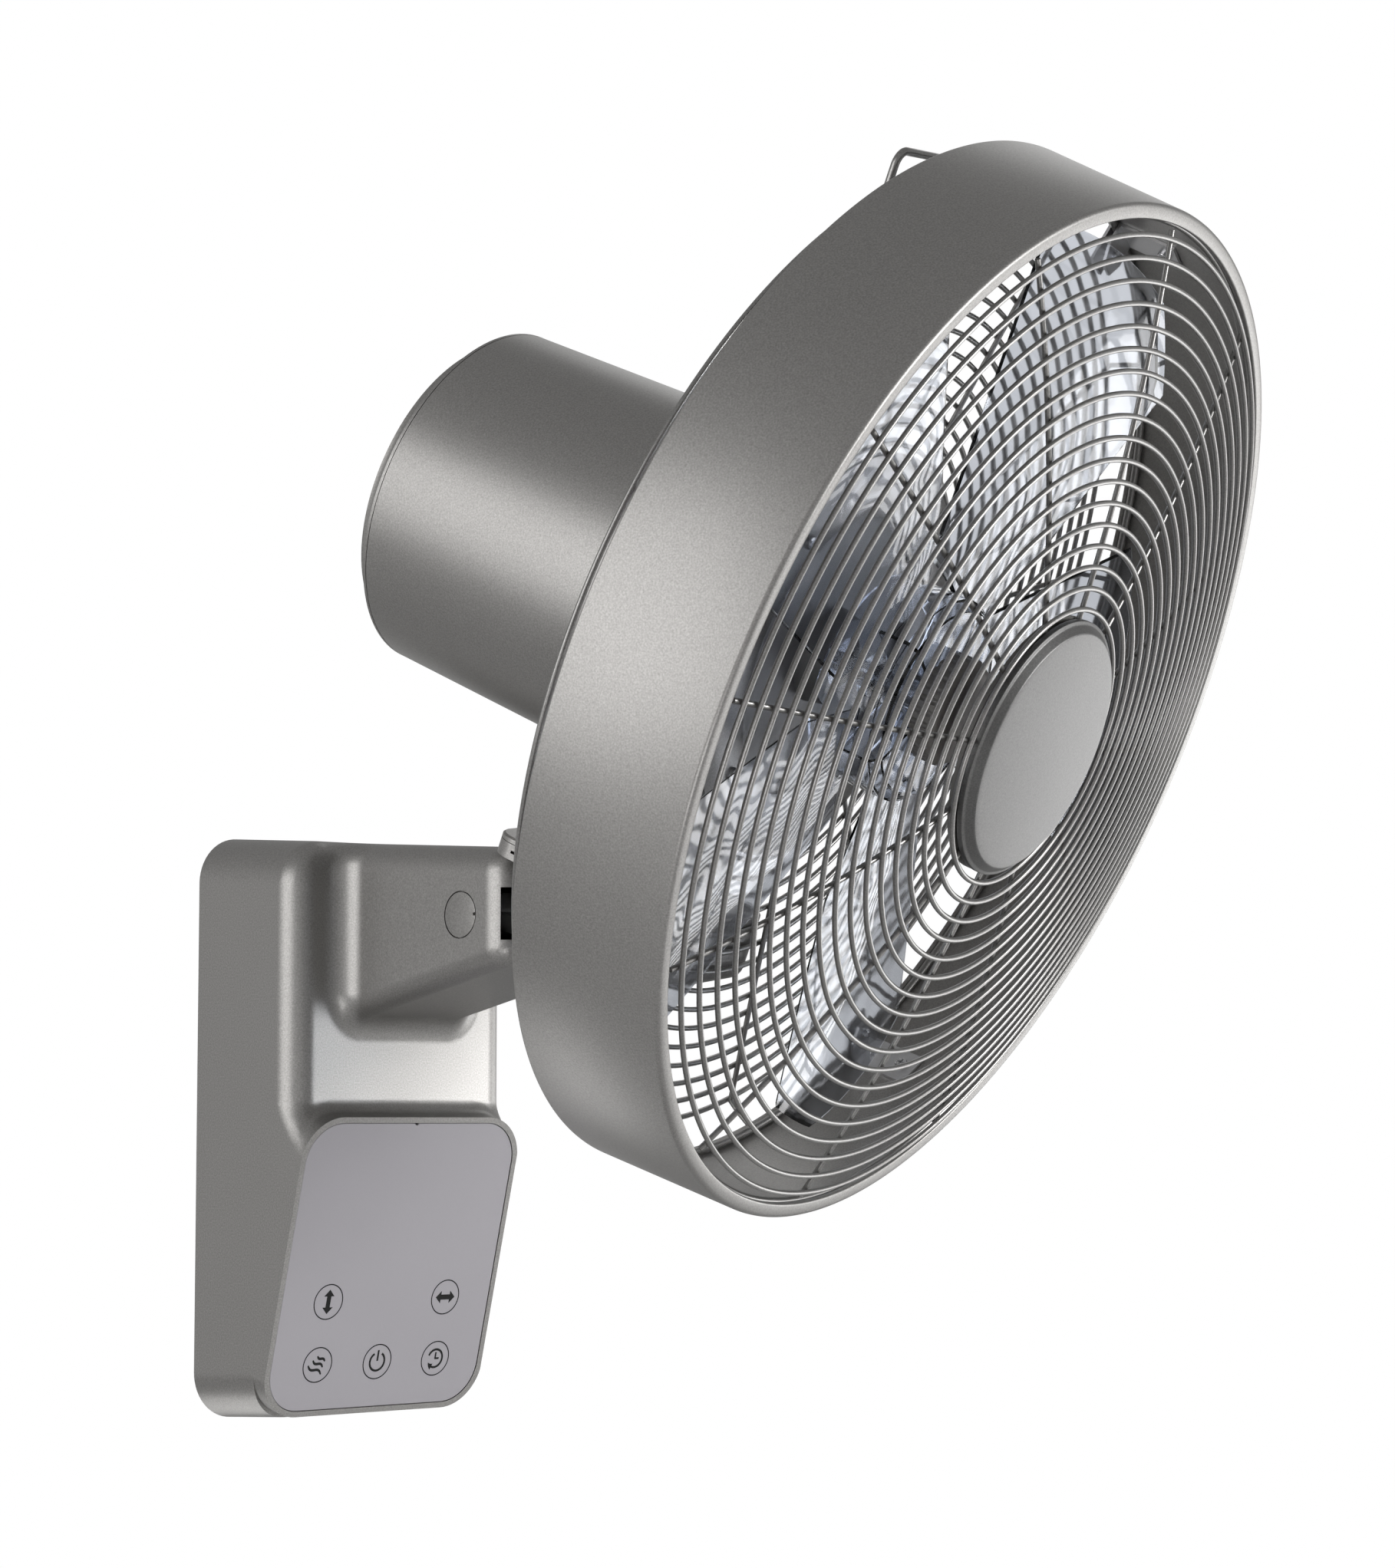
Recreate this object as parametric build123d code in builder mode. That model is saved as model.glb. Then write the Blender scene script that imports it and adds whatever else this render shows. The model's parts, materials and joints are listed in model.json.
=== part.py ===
from build123d import *
from math import asin, atan2, cos, degrees, radians, sin, sqrt, tan
import os

# Wall mounted fan, millimetres.
# The frame: origin on the wall at the middle of the bracket, front towards -Y, +Z up, +X to the right
# seen from the front. The rest pose is tilted 25.85 degrees down and swung 16.06 degrees to the right.

# ---------------------------------------------------------------- driving dimensions

# moulded bracket and its arm
shell_wall = 2.5                # wall of the moulded housing
body_width = 120.0
body_top = 124.0                # height of the top face at the wall
body_bottom = -125.5            # height of the bottom face at the wall
body_depth = 66.0               # wall to the flat front face
top_draft = 3.75                # the top falls towards the front, degrees
bottom_rise = 1.8               # the bottom rises by this much at the panel's foot
corner_radius = 20.0            # corners of the body's outline
edge_radius = 12.0              # soft edges round the front face and the arm
under_edge_radius = 9.0         # soft edges below the arm
cove_radius = 7.2               # hollow curve between the front face and the panel block
knee_height = -30.0             # where the body's front turns back, hidden behind the panel block
knee_depth = 54.0
knee_low = -60.0
arm_half_width = 33.0
arm_nose = 27.0                 # tilt axis to the arm's front face
arm_root = 30.0                 # the arm's own form starts this far from the wall, inside the body
arm_under_root = 43.9           # height of the arm's underside at the body's face
arm_under_front = 65.7          # height of its underside at its front face
mouth_rise = 10.5               # the arm's mouth above and below the tilt axis
mouth_drop = 11.0

# touch panel
panel_width = 120.0
panel_length = 130.3            # along its slope
panel_top_depth = 76.5          # wall to the panel block's top edge
panel_top_height = 3.0
panel_foot_depth = 44.5         # wall to its bottom edge
panel_foot_height = -123.3
panel_corner = 20.0
panel_rim = 2.4                 # rim of the housing round the panel
panel_pocket = 2.8              # depth of the pocket for the panel
panel_thickness = 2.6
panel_ledge = 2.0               # wall behind the pocket
panel_fit = 0.15                # gap round the panel
panel_notch = 1.0               # small thumb notch in the panel's top edge
window_margin = 9.0             # ledge that the panel rests on

# wall plate
plate_thickness = 1.6
plate_fit = 0.4                 # gap between the plate's edge and the housing
plate_hole_radius = 3.0
plate_hole_x = 40.0
plate_hole_z = 85.0
flange_depth = 12.0
flange_half_width = 44.0
screw_m4_radius = 2.0
screw_m4_length = 8.0
screw_m4_head_radius = 3.8
screw_m4_head_height = 2.4
screw_m4_recess = 1.0           # width of the cross recess
low_head_height = 1.3           # low head of the housing screws
housing_screw_x = 34.0
housing_screw_depth = 7.5
screw_sink = 1.6                # depth of the flat seat that lets the low heads lie flush
screw_fit = 0.1                 # gap round a screw in its hole

# boards
board_width = 90.0
board_length = 104.0
board_thickness = 1.6
board_margin = 4.0
board_height = 10.0             # middle of the power board
stud_radius = 3.0
stud_length = 8.0
screw_m3_radius = 1.5
screw_m3_length = 6.0
screw_m3_head_radius = 2.8
screw_m3_head_height = 1.9
screw_m3_recess = 0.8
ear_screw_head_radius = 2.6
ear_screw_head_height = 1.0
grommet_height = -75.0
grommet_radius = 9.0
grommet_bore = 3.6
grommet_lip = 2.0
grommet_collar = 4.0            # its length in front of the plate
transformer = (34.0, 30.0, 24.0)
transformer_place = (-16.0, 26.0)
terminal_block = (40.0, 10.0, 14.0)
terminal_place = (16.0, -38.0)
relay = (14.0, 20.0, 14.0)
relay_place = (24.0, 8.0)
capacitor_radius = 7.0
capacitor_height = 20.0
capacitor_places = ((24.0, 34.0), (-24.0, -10.0), (-4.0, -12.0))
display = (24.0, 8.0)           # parts on the touch board
controller = (12.0, 12.0)
controller_place = (-20.0, 0.0)
touch_plug = (7.0, 10.0)
touch_plug_place = (22.0, -8.0)
touch_part_height = 5.0

# tilt joint
tilt_depth = 140.5              # wall to the tilt axis
tilt_height = 86.0
tilt_angle = 25.85              # rest pose, degrees down
pin_radius = 4.0
running_fit = 0.05              # radial gap of a turning shaft
boss_length = 6.0
boss_radius = 7.0
barrel_radius = 10.0
barrel_half = 22.0
washer_gap = 0.3
cap_radius = 9.7
cap_seat = 1.5                  # depth of the cover's recess
cap_fit = 0.2
cap_notch = 0.7
tongue_angle = 12.65            # tongue above the neck's direction, degrees
tongue_thickness = 7.0
tongue_width = 44.0

# swing joint (side to side)
swing_angle = 16.06             # rest pose, degrees to the right
swing_reach = 60.0              # tilt axis to the swing axis
head_rise = 159.12              # tilt axis to the fan axis, along the swing axis
deck_radius = 22.0
deck_low = 5.0
deck_top = 14.0
post_radius = 8.0
gear_seat = 37.8                # the fixed gear sits on the post's shoulder
post_top = 42.6
spigot_radius = 6.5
spigot_flat = 5.5               # axis to the two flats that hold the fixed gear
wire_way = 3.4                  # radius of the way for the wires through the post
bush_wall = 2.0
hub_wall = 2.5
swing_washer_thickness = 1.7
circlip_groove = 0.6
circlip_thickness = 0.8

# gears, straight teeth of module 1
gear_module = 1.0
sector_teeth = 36
pinion_teeth = 12
swing_teeth = 30
tooth_addendum = 0.75
tooth_dedendum = 1.15
tooth_tip = 0.5
tooth_root = 1.55
gear_face = 3.5
sector_left = 12.0              # the sector's near side on the barrel
sector_width = 5.0
sector_span = 8                 # teeth on the sector
sector_first = -2               # its lowest tooth, counted from the pinion's side

# small gear motors of both joints
gearmotor_radius = 14.0
gearmotor_height = 19.0
gearmotor_offset = 8.0          # its shaft stands off its middle
gearmotor_shaft = 2.5
gearmotor_ear = 17.5            # screw to the middle
ear_radius = 3.5
ear_thickness = 0.8
ear_hole = 1.7
shaft_seat = 4.0                # the pinion's shaft in the motor
gearmotor_edge = 1.0
gearmotor_plug = (5.0, 8.0)     # its connector, standing out beyond the can
gearmotor_plug_sink = 1.5
gearmotor_face_gap = 4.0        # tilt motor's face to the near side of the sector

# neck
neck_half_width = 32.0
neck_wall = 2.5
case_back = 22.0                # gear case behind the swing axis
case_front = 46.0
case_low = 16.0
tail_back = 53.0                # upper part reaches back over the arm
tail_low = 36.0
neck_top = 45.0
cover_thickness = 2.7
cover_split = 13.85             # seam between the cover and the column's foot, behind the axis
split_corner = 1.5              # corners of the column's foot at the seam
seam = 0.3
case_corner = 14.0
case_edge = 6.0                 # rounding of the gear case's bottom
neck_screw_right = 28.3
neck_screw_draw = 3.3           # the front pair stands this much nearer the middle
foot_screw_back = 9.5
foot_screw_front = 8.0
peg_inset = 9.0
peg_radius = 1.9
peg_length = 3.0
tail_corner = 9.0
column_half_width = 24.0
column_back = 12.0
column_front = 30.0
column_corner = 9.0
column_wall = 2.5

# motor housing
tube_rear = -127.5              # rear edge, along the fan axis from the swing axis
tube_front = 48.0
tube_wall = 2.0
tube_radius_rear = 71.4
tube_radius_front = 75.7
cap_rear = -136.0
cap_edge_radius = 7.0
seat_gap = 0.1                  # gap between seated pieces of one body

plate_back = 42.0               # motor's front plate, along the fan axis
plate_face = 46.0
nose_front = 56.0
nose_radius = 18.0
bearing_radius = 11.0
bearing_length = 9.0
boss_circle = 67.0              # front plate's screws
bell_circle = 54.0              # motor bell's screws
rear_flange_inner = 61.0
flange_screw_angle = 45.0
foot_cove = 1.6
vent_count = 36
vent_circle = 42.0
vent_length = 30.0
vent_width = 3.0
slot_length = 7.0
slot_height = 1.2
slot_drop = 3.0
slot_from_back = 13.5

plate_screw_sink = 1.0          # the plate's screw heads lie below the grille's flange
bell_rear = 0.0
bell_radius = 50.0
bell_wall = 2.0
bell_flange = 3.0
stator_rear = 12.0
stator_front = 32.0
stator_slots = 12
slot_depth = 12.0
slot_width = 5.0
coil_width = 9.0
coil_height = 8.0
rotor_radius = 28.0
air_gap = 0.5
driver_face = -20.0             # where the driver board sits on its posts
driver_circle = 38.0
driver_chip = (16.0, 16.0)
driver_chip_place = (14.0, 8.0)
driver_filter = (10.0, 22.0)
driver_filter_place = (-20.0, 6.0)
driver_capacitor_radius = 6.0
driver_capacitor_place = (4.0, -22.0)
driver_part_height = 8.0
shaft_front = 110.0
drive_pin_place = 72.0
drive_pin_half = 9.0
drive_pin_radius = 1.5

# drum
drum_rear = 59.3
drum_front = 121.3
drum_radius_rear = 212.0
drum_radius_front = 207.5
drum_wall = 2.5
lip_radius = 201.5
lip_thickness = 2.5
bead_depth = 3.0
bead_step = 1.2
edge_break = 0.6
lip_round = 2.0

# grilles
wire_radius = 1.1
border_radius = 1.6
border_show = 1.0               # the front border wire stands this much inside the lip
weld_gap = 0.1
spoke_count = 12
spoke_start = 25.5              # first spoke, degrees from the head's right
ring_count = 18
ring_pitch = 8.24
ring_first = 56.0
dome_height = 24.0
dome_rim = 202.0
rear_ring_margin = 5.0          # least space between the last ring and the border wire
rear_ring_pitch = 8.0
rear_ring_first = 87.0
rear_dish_inner = 46.6
rear_dish_outer = 50.5
rear_flange_radius = 84.0
flange_thickness = 1.2
spoke_bend = 6.0
cap_clip_circle = 34.0
cap_clip_radius = 3.3
cap_face_radius = 48.0
cap_ring_radius = 52.0
cap_rim = 148.3                 # edge of the cap's crowned face, along the fan axis
cap_crown = 1.7
cap_skin = 2.0
bail_half = 35.6                # wire bail on the rear grille, behind the drum's top
bail_rise = 24.0                # its top above its feet
bail_ring_back = 3              # its feet are welded to the ring this many before the last
bail_back = 27.0
bail_bend = 6.0
bracket_angles = (-57.0, 63.0, 183.0)
bracket_front = 92.0            # steel brackets between the band and the rear grille
bracket_width = 17.0
bracket_thickness = 1.2
bracket_foot = 17.0
bracket_screw_front = 86.0
bracket_screw_in = 10.0
clip_inset = 2.0
band_screw_grip = 1.4           # depth of the leg's screw in the band
foot_screw_tip = 1.0

# fan
shaft_radius = 4.0
blade_count = 5
blade_tip = 188.0
hub_radius = 42.0
hub_back = 68.0
hub_front = 100.0
hub_skin = 2.2
blade_middle = 86.0
blade_skin = 1.8
blade_root = 36.0
blade_sections = 5
blade_pitch_root = 34.0         # blade angle from the plane of turning, degrees
blade_pitch_tip = 19.0
blade_chord_root = 62.0
blade_chord_tip = 150.0
blade_camber = 0.07             # crown of the blade's section, share of its chord
blade_lead = 36.0               # the petal's edges, degrees each side of its middle line
blade_trail = 30.0
blade_corner = 34.0
hub_boss_radius = 9.0
nut_radius = 22.0
nut_back = 100.4
nut_front = 114.0
nut_flutes = 28

# ---------------------------------------------------------------- frames

ct, st = cos(radians(tilt_angle)), sin(radians(tilt_angle))
cs, ss = cos(radians(swing_angle)), sin(radians(swing_angle))
arm_reach = tilt_depth + arm_nose
tilt_axis = Vector(0, -tilt_depth, tilt_height)
neck_forward = Vector(0, -ct, -st)
neck_up = Vector(0, -st, ct)
swing_foot = tilt_axis + neck_forward * swing_reach
fan_centre = swing_foot + neck_up * head_rise
fan_forward = Vector(ss, -ct * cs, -st * cs)
fan_right = Vector(cs, ct * ss, st * ss)

body_side = Plane(origin=(0, 0, 0), x_dir=(0, -1, 0), z_dir=(-1, 0, 0))        # depth, height
neck_side = Plane(origin=tilt_axis, x_dir=neck_forward, z_dir=(-1, 0, 0))      # forward, up
fan_section = Plane(origin=fan_centre, x_dir=fan_right, z_dir=neck_up * -1)    # radius, forward
fan_line = Axis(origin=fan_centre, direction=fan_forward)
swing_line = Axis(origin=swing_foot, direction=neck_up)
panel_slope = degrees(atan2(panel_top_depth - panel_foot_depth, panel_top_height - panel_foot_height))
panel_normal = Vector(0, -cos(radians(panel_slope)), -sin(radians(panel_slope)))
panel_down = Vector(0, sin(radians(panel_slope)), -cos(radians(panel_slope)))
panel_middle = Vector(0, -panel_top_depth, panel_top_height) + panel_down * (panel_length / 2)


def panel_plane(behind):
    """Plane at the middle of the touch panel, `behind` its face."""
    return Plane(origin=panel_middle - panel_normal * behind, x_dir=(1, 0, 0), z_dir=panel_normal)


def knuckle_level(level):
    """Plane across the swing axis, on the tilting knuckle (forward, right)."""
    return Plane(origin=swing_foot + neck_up * level, x_dir=neck_forward, z_dir=neck_up)


def neck_level(level):
    """Plane across the swing axis, on the swinging neck (forward, right)."""
    return Plane(origin=swing_foot + neck_up * level, x_dir=fan_forward, z_dir=neck_up)


def fan_level(forward, angle=0):
    """Plane across the fan axis (right, up), turned about the axis."""
    right = fan_right * cos(radians(angle)) + neck_up * sin(radians(angle))
    return Plane(origin=fan_centre + fan_forward * forward, x_dir=right, z_dir=fan_forward)


def cross_level(x, y, z):
    """Plane across X through a point of the wall frame (Y, Z)."""
    return Plane(origin=(x, y, z), x_dir=(0, 1, 0), z_dir=(1, 0, 0))


# ---------------------------------------------------------------- bracket housing

def top_at(depth, inset=0.0):
    """Height of the top face at a depth from the wall."""
    return body_top - inset - depth * tan(radians(top_draft))


def bottom_at(depth):
    """Height of the bottom face at a depth from the wall."""
    return body_bottom + bottom_rise * depth / (panel_foot_depth - edge_radius / 1.5)


def under_at(depth):
    """Height of the arm's underside at a depth from the wall."""
    return arm_under_root + (depth - body_depth) * arm_under_slope


arm_under_slope = (arm_under_front - arm_under_root) / (arm_reach - body_depth)


def bracket_form(inset, panel_inset, cove):
    """The bracket's outer form, or with insets the hollow inside it, open at the wall."""
    half = body_width / 2 - inset
    back = -inset
    face = body_depth - inset
    arm_half = arm_half_width - inset
    reach = arm_reach - inset
    knee = knee_height + 4 * inset
    with BuildPart() as block:
        with BuildSketch(panel_plane(panel_inset)):
            RectangleRounded(2 * half + 2 * seam, panel_length - 2 * inset, panel_corner - inset)
        extrude(amount=-panel_top_depth - body_depth / 2)
        with BuildSketch(Plane.XZ.offset(back)):
            Rectangle(2 * half, 4 * body_top)
        extrude(amount=2 * arm_reach, mode=Mode.INTERSECT)
    with BuildPart() as form:
        with BuildSketch(body_side):
            with BuildLine():
                Polyline(
                    (back, body_bottom + inset),
                    (back, top_at(back, inset)),
                    (face, top_at(face, inset)),
                    (face, knee),
                    (knee_depth - panel_inset, knee_low),
                    (panel_foot_depth - edge_radius / 1.5 - panel_inset, body_bottom + bottom_rise + inset),
                    close=True,
                )
            make_face()
        extrude(amount=half, both=True)
        outline = form.edges().filter_by(lambda e: abs(e.tangent_at(0.5).Y) > 0.98 and abs(e.center().X) > half - 1)
        fillet(outline, corner_radius - inset)
        add(block.part)
        ledge = form.edges().filter_by(
            lambda e: abs(e.center().Y + face) < seam
            and -2 * edge_radius < e.center().Z < edge_radius
            and e.length < 1.5 * half
        )
        if cove > 0:
            fillet(ledge, cove)
        with BuildSketch(body_side):
            with BuildLine():
                Polyline(
                    (arm_root, top_at(arm_root, inset)),
                    (reach, top_at(reach, inset)),
                    (reach, under_at(reach) + inset),
                    (arm_root, under_at(arm_root) + inset),
                    close=True,
                )
            make_face()
        extrude(amount=arm_half, both=True)
        noses = form.edges().filter_by(lambda e: abs(e.center().Y + reach) < seam and abs(e.center().X) > arm_half - 1)
        fillet(noses, edge_radius - inset)
        under = form.edges().filter_by(
            lambda e: -e.center().Y > face + seam
            and abs(e.center().Z - under_at(-e.center().Y) - inset) < 1.2
        )
        fillet(under, under_edge_radius - inset)
        root = form.edges().filter_by(
            lambda e: abs(e.center().Y + face) < 1.5
            and abs(e.center().X) < arm_half + 0.5
            and arm_under_root - 3 < e.center().Z < top_at(face) - 1
        )
        fillet(root, edge_radius + inset)
        rim_low = knee - 7 if cove > 0 else edge_radius
        rim = form.edges().filter_by(
            lambda e: (abs(e.center().Z - top_at(-e.center().Y, inset)) < 0.3
                       and abs(e.center().X) < arm_half + 6 and -e.center().Y > 3)
            or (abs(e.center().Y + face) < 0.5 and abs(e.center().X) > arm_half + 13 and e.center().Z > rim_low)
        )
        fillet(rim, edge_radius - inset)
    return form.part


housing_outer = bracket_form(0, 0, cove_radius)
housing_hollow = bracket_form(shell_wall, panel_pocket + panel_ledge, 0)

inner_half = arm_half_width - shell_wall
boss_face = inner_half - boss_length
cap_floor = arm_half_width - cap_seat
pin_half = cap_floor - seam
pocket_width = panel_width - 2 * panel_rim
pocket_length = panel_length - 2 * panel_rim
pocket_corner = panel_corner - panel_rim
window_width = pocket_width - 2 * window_margin
window_length = pocket_length - 2 * window_margin
plate_top = body_top - shell_wall - plate_fit - flange_depth * tan(radians(top_draft))
plate_bottom = body_bottom + shell_wall + plate_fit + bottom_rise * flange_depth / panel_foot_depth
plate_half = body_width / 2 - shell_wall - plate_fit
plate_corner = corner_radius - shell_wall - plate_fit

housing_screw_seats = (
    (top_at(housing_screw_depth) - screw_sink, 1),
    (bottom_at(housing_screw_depth) + screw_sink, -1),
)

# the tilt motor stands behind the tilt axis, its body towards the wall
pinion_distance = gear_module * (sector_teeth + pinion_teeth) / 2
pinion_depth = tilt_depth - pinion_distance
tilt_motor_depth = pinion_depth - gearmotor_offset
tilt_motor_face = sector_left - gearmotor_face_gap

with BuildPart() as base_housing:
    add(housing_outer)
    add(housing_hollow, mode=Mode.SUBTRACT)
    # pocket and window for the touch panel
    with BuildSketch(panel_plane(0)):
        RectangleRounded(pocket_width, pocket_length, pocket_corner)
    extrude(amount=-panel_pocket, mode=Mode.SUBTRACT)
    with BuildSketch(panel_plane(panel_pocket)):
        RectangleRounded(window_width, window_length, pocket_corner - window_margin)
    extrude(amount=-2 * panel_ledge, mode=Mode.SUBTRACT)
    # bosses for the tilt pin, with a seat for the cover outside
    for side in (-1, 1):
        with BuildSketch(cross_level(side * boss_face, -tilt_depth, tilt_height)):
            Circle(boss_radius)
        extrude(amount=side * (boss_length + shell_wall / 2))
        with BuildSketch(cross_level(side * cap_floor, -tilt_depth, tilt_height)):
            Circle(cap_radius + cap_fit)
        extrude(amount=side * 2 * cap_seat, mode=Mode.SUBTRACT)
    with BuildSketch(cross_level(-arm_half_width, -tilt_depth, tilt_height)):
        Circle(pin_radius + running_fit)
    extrude(amount=2 * arm_half_width, mode=Mode.SUBTRACT)
    # mouth that the tilt knuckle passes through
    with BuildSketch(Plane(origin=(0, -arm_reach - seam, tilt_height), x_dir=(1, 0, 0), z_dir=(0, 1, 0))):
        with Locations((0, (mouth_drop - mouth_rise) / 2)):
            Rectangle(2 * inner_half, mouth_rise + mouth_drop)
    extrude(amount=edge_radius, mode=Mode.SUBTRACT)
    # two posts for the tilt motor's ears
    for side in (-1, 1):
        with BuildSketch(cross_level(tilt_motor_face, -tilt_motor_depth, tilt_height)):
            with Locations((0, side * gearmotor_ear)):
                Circle(ear_radius)
        extrude(amount=inner_half - tilt_motor_face + shell_wall / 2)
        with BuildSketch(cross_level(tilt_motor_face, -tilt_motor_depth, tilt_height)):
            with Locations((0, side * gearmotor_ear)):
                Circle(screw_m3_radius + seat_gap / 2)
        extrude(amount=edge_radius, mode=Mode.SUBTRACT)
    # holes for the housing screws in the bottom and top walls, with a flat seat for each head
    for side in (-1, 1):
        for height, out in housing_screw_seats:
            with BuildSketch(Plane.XY.offset(height)):
                with Locations((side * housing_screw_x, -housing_screw_depth)):
                    Circle(screw_m4_radius + screw_fit)
            extrude(amount=2 * shell_wall, both=True, mode=Mode.SUBTRACT)
            with BuildSketch(Plane.XY.offset(height)):
                with Locations((side * housing_screw_x, -housing_screw_depth)):
                    Circle(screw_m4_head_radius + seam)
            extrude(amount=out * shell_wall, mode=Mode.SUBTRACT)
base_housing.part.label = "base_housing"

# wall plate: sheet steel that closes the housing's back, with two flanges
with BuildPart() as wall_plate:
    with BuildSketch(Plane.XZ):
        with Locations((0, (plate_top + plate_bottom) / 2)):
            RectangleRounded(2 * plate_half, plate_top - plate_bottom, plate_corner)
    extrude(amount=plate_thickness)
    for height, turn in ((plate_top, -1), (plate_bottom, 1)):
        with BuildSketch(Plane.XY.offset(height)):
            with Locations((0, -flange_depth / 2)):
                Rectangle(2 * flange_half_width - 2 * plate_corner, flange_depth)
        extrude(amount=turn * plate_thickness)
        for side in (-1, 1):
            with BuildSketch(Plane.XY.offset(height)):
                with Locations((side * housing_screw_x, -flange_depth / 2)):
                    Rectangle(2 * screw_m4_head_radius, flange_depth)
            extrude(amount=turn * plate_thickness)
            with BuildSketch(Plane.XY.offset(height)):
                with Locations((side * housing_screw_x, -housing_screw_depth)):
                    Circle(screw_m4_radius + screw_fit)
            extrude(amount=2 * plate_thickness, both=True, mode=Mode.SUBTRACT)
    with BuildSketch(Plane.XZ):
        with GridLocations(2 * plate_hole_x, 2 * plate_hole_z, 2, 2):
            Circle(plate_hole_radius)
        with Locations((0, grommet_height)):
            Circle(grommet_radius)
    extrude(amount=plate_thickness, mode=Mode.SUBTRACT)
    # studs that carry the power board
    with BuildSketch(Plane.XZ.offset(plate_thickness)):
        with Locations((0, board_height)):
            with GridLocations(board_width - 2 * board_margin, board_length - 2 * board_margin, 2, 2):
                Circle(stud_radius)
    extrude(amount=stud_length)
    with BuildSketch(Plane.XZ.offset(plate_thickness + stud_length)):
        with Locations((0, board_height)):
            with GridLocations(board_width - 2 * board_margin, board_length - 2 * board_margin, 2, 2):
                Circle(screw_m3_radius + seat_gap / 2)
    extrude(amount=-stud_length, mode=Mode.SUBTRACT)
wall_plate.part.label = "wall_plate"

# rubber grommet in the plate, where the supply cable comes out of the wall
with BuildPart() as cable_grommet:
    with BuildSketch(Plane(origin=(0, 0, grommet_height), x_dir=(1, 0, 0), z_dir=(0, 0, 1))):
        with BuildLine():
            Polyline(
                (grommet_bore, 0),
                (grommet_radius - seat_gap, 0),
                (grommet_radius - seat_gap, -plate_thickness - seat_gap),
                (grommet_radius + grommet_lip, -plate_thickness - seat_gap),
                (grommet_radius + grommet_lip / 2, -plate_thickness - grommet_collar * 0.75),
                (grommet_bore, -plate_thickness - grommet_collar),
                close=True,
            )
        make_face()
    revolve(axis=Axis(origin=(0, 0, grommet_height), direction=(0, 1, 0)))
cable_grommet.part.label = "cable_grommet"


def pan_screw(radius, length, head_radius, head_height, recess):
    """Pan head screw, the underside of its head at the origin, shank towards -Z."""
    with BuildPart() as screw:
        with BuildSketch():
            Circle(radius)
        extrude(amount=-length)
        with BuildSketch():
            Circle(head_radius)
        extrude(amount=head_height)
        fillet(screw.faces().sort_by(Axis.Z)[-1].edges(), head_height / 2.5)
        for turn in (0, 90):
            with BuildSketch(Plane.XY.offset(head_height)):
                Rectangle(head_radius * 1.1, recess, rotation=turn)
            extrude(amount=-head_height / 2, mode=Mode.SUBTRACT)
    return screw.part


def m3_pan_screw(length):
    """M3 pan head screw of a length."""
    return pan_screw(screw_m3_radius, length, screw_m3_head_radius, screw_m3_head_height, screw_m3_recess)


m4_screw = pan_screw(screw_m4_radius, screw_m4_length, screw_m4_head_radius, screw_m4_head_height, screw_m4_recess)
housing_screw = pan_screw(screw_m4_radius, screw_m4_length, screw_m4_head_radius, low_head_height, screw_m4_recess)
m3_screw = m3_pan_screw(screw_m3_length)
ear_screw = pan_screw(screw_m3_radius, screw_m3_length, ear_screw_head_radius, ear_screw_head_height, screw_m3_recess)
band_screw = m3_pan_screw(bracket_thickness + seam + band_screw_grip)
foot_screw = m3_pan_screw(2 * border_radius + 2 * seat_gap + 2 * bracket_thickness + foot_screw_tip)

with BuildPart() as housing_screws:
    for side in (-1, 1):
        for height, out in housing_screw_seats:
            seat = Plane(origin=(side * housing_screw_x, -housing_screw_depth, height), x_dir=(1, 0, 0),
                         z_dir=(0, 0, out))
            with Locations(seat):
                add(housing_screw)
housing_screws.part.label = "housing_screws"

# ---------------------------------------------------------------- touch panel and boards

with BuildPart() as control_panel:
    with BuildSketch(panel_plane(panel_pocket)):
        RectangleRounded(pocket_width - 2 * panel_fit, pocket_length - 2 * panel_fit, pocket_corner - panel_fit)
        with Locations((0, pocket_length / 2)):
            Circle(panel_notch, mode=Mode.SUBTRACT)
    extrude(amount=panel_thickness)
    chamfer(control_panel.faces().sort_by(Axis(origin=(0, 0, 0), direction=panel_normal))[-1].edges(), 0.3)
control_panel.part.label = "control_panel"

with BuildPart() as control_board:
    with BuildSketch(panel_plane(panel_pocket)):
        RectangleRounded(window_width - 4 * seam, window_length - 4 * seam, pocket_corner - window_margin - seam)
    extrude(amount=-board_thickness)
    with BuildSketch(panel_plane(panel_pocket + board_thickness)):
        with Locations((0, window_length / 3)):
            Rectangle(*display)
        with Locations(controller_place):
            Rectangle(*controller)
        with Locations(touch_plug_place):
            Rectangle(*touch_plug)
    extrude(amount=-touch_part_height)
control_board.part.label = "control_board"

board_face = plate_thickness + stud_length
board_holes_x = board_width - 2 * board_margin
board_holes_z = board_length - 2 * board_margin

with BuildPart() as power_board:
    with BuildSketch(Plane.XZ.offset(board_face)):
        with Locations((0, board_height)):
            RectangleRounded(board_width, board_length, 3)
            with GridLocations(board_holes_x, board_holes_z, 2, 2):
                Circle(screw_m3_radius + screw_fit, mode=Mode.SUBTRACT)
    extrude(amount=board_thickness)
    for block, place in ((transformer, transformer_place), (terminal_block, terminal_place), (relay, relay_place)):
        with BuildSketch(Plane.XZ.offset(board_face + board_thickness)):
            with Locations((place[0], board_height + place[1])):
                Rectangle(block[0], block[1])
        extrude(amount=block[2])
    with BuildSketch(Plane.XZ.offset(board_face + board_thickness)):
        with Locations((0, board_height)):
            with Locations(*capacitor_places):
                Circle(capacitor_radius)
    extrude(amount=capacitor_height)
power_board.part.label = "power_board"

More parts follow.
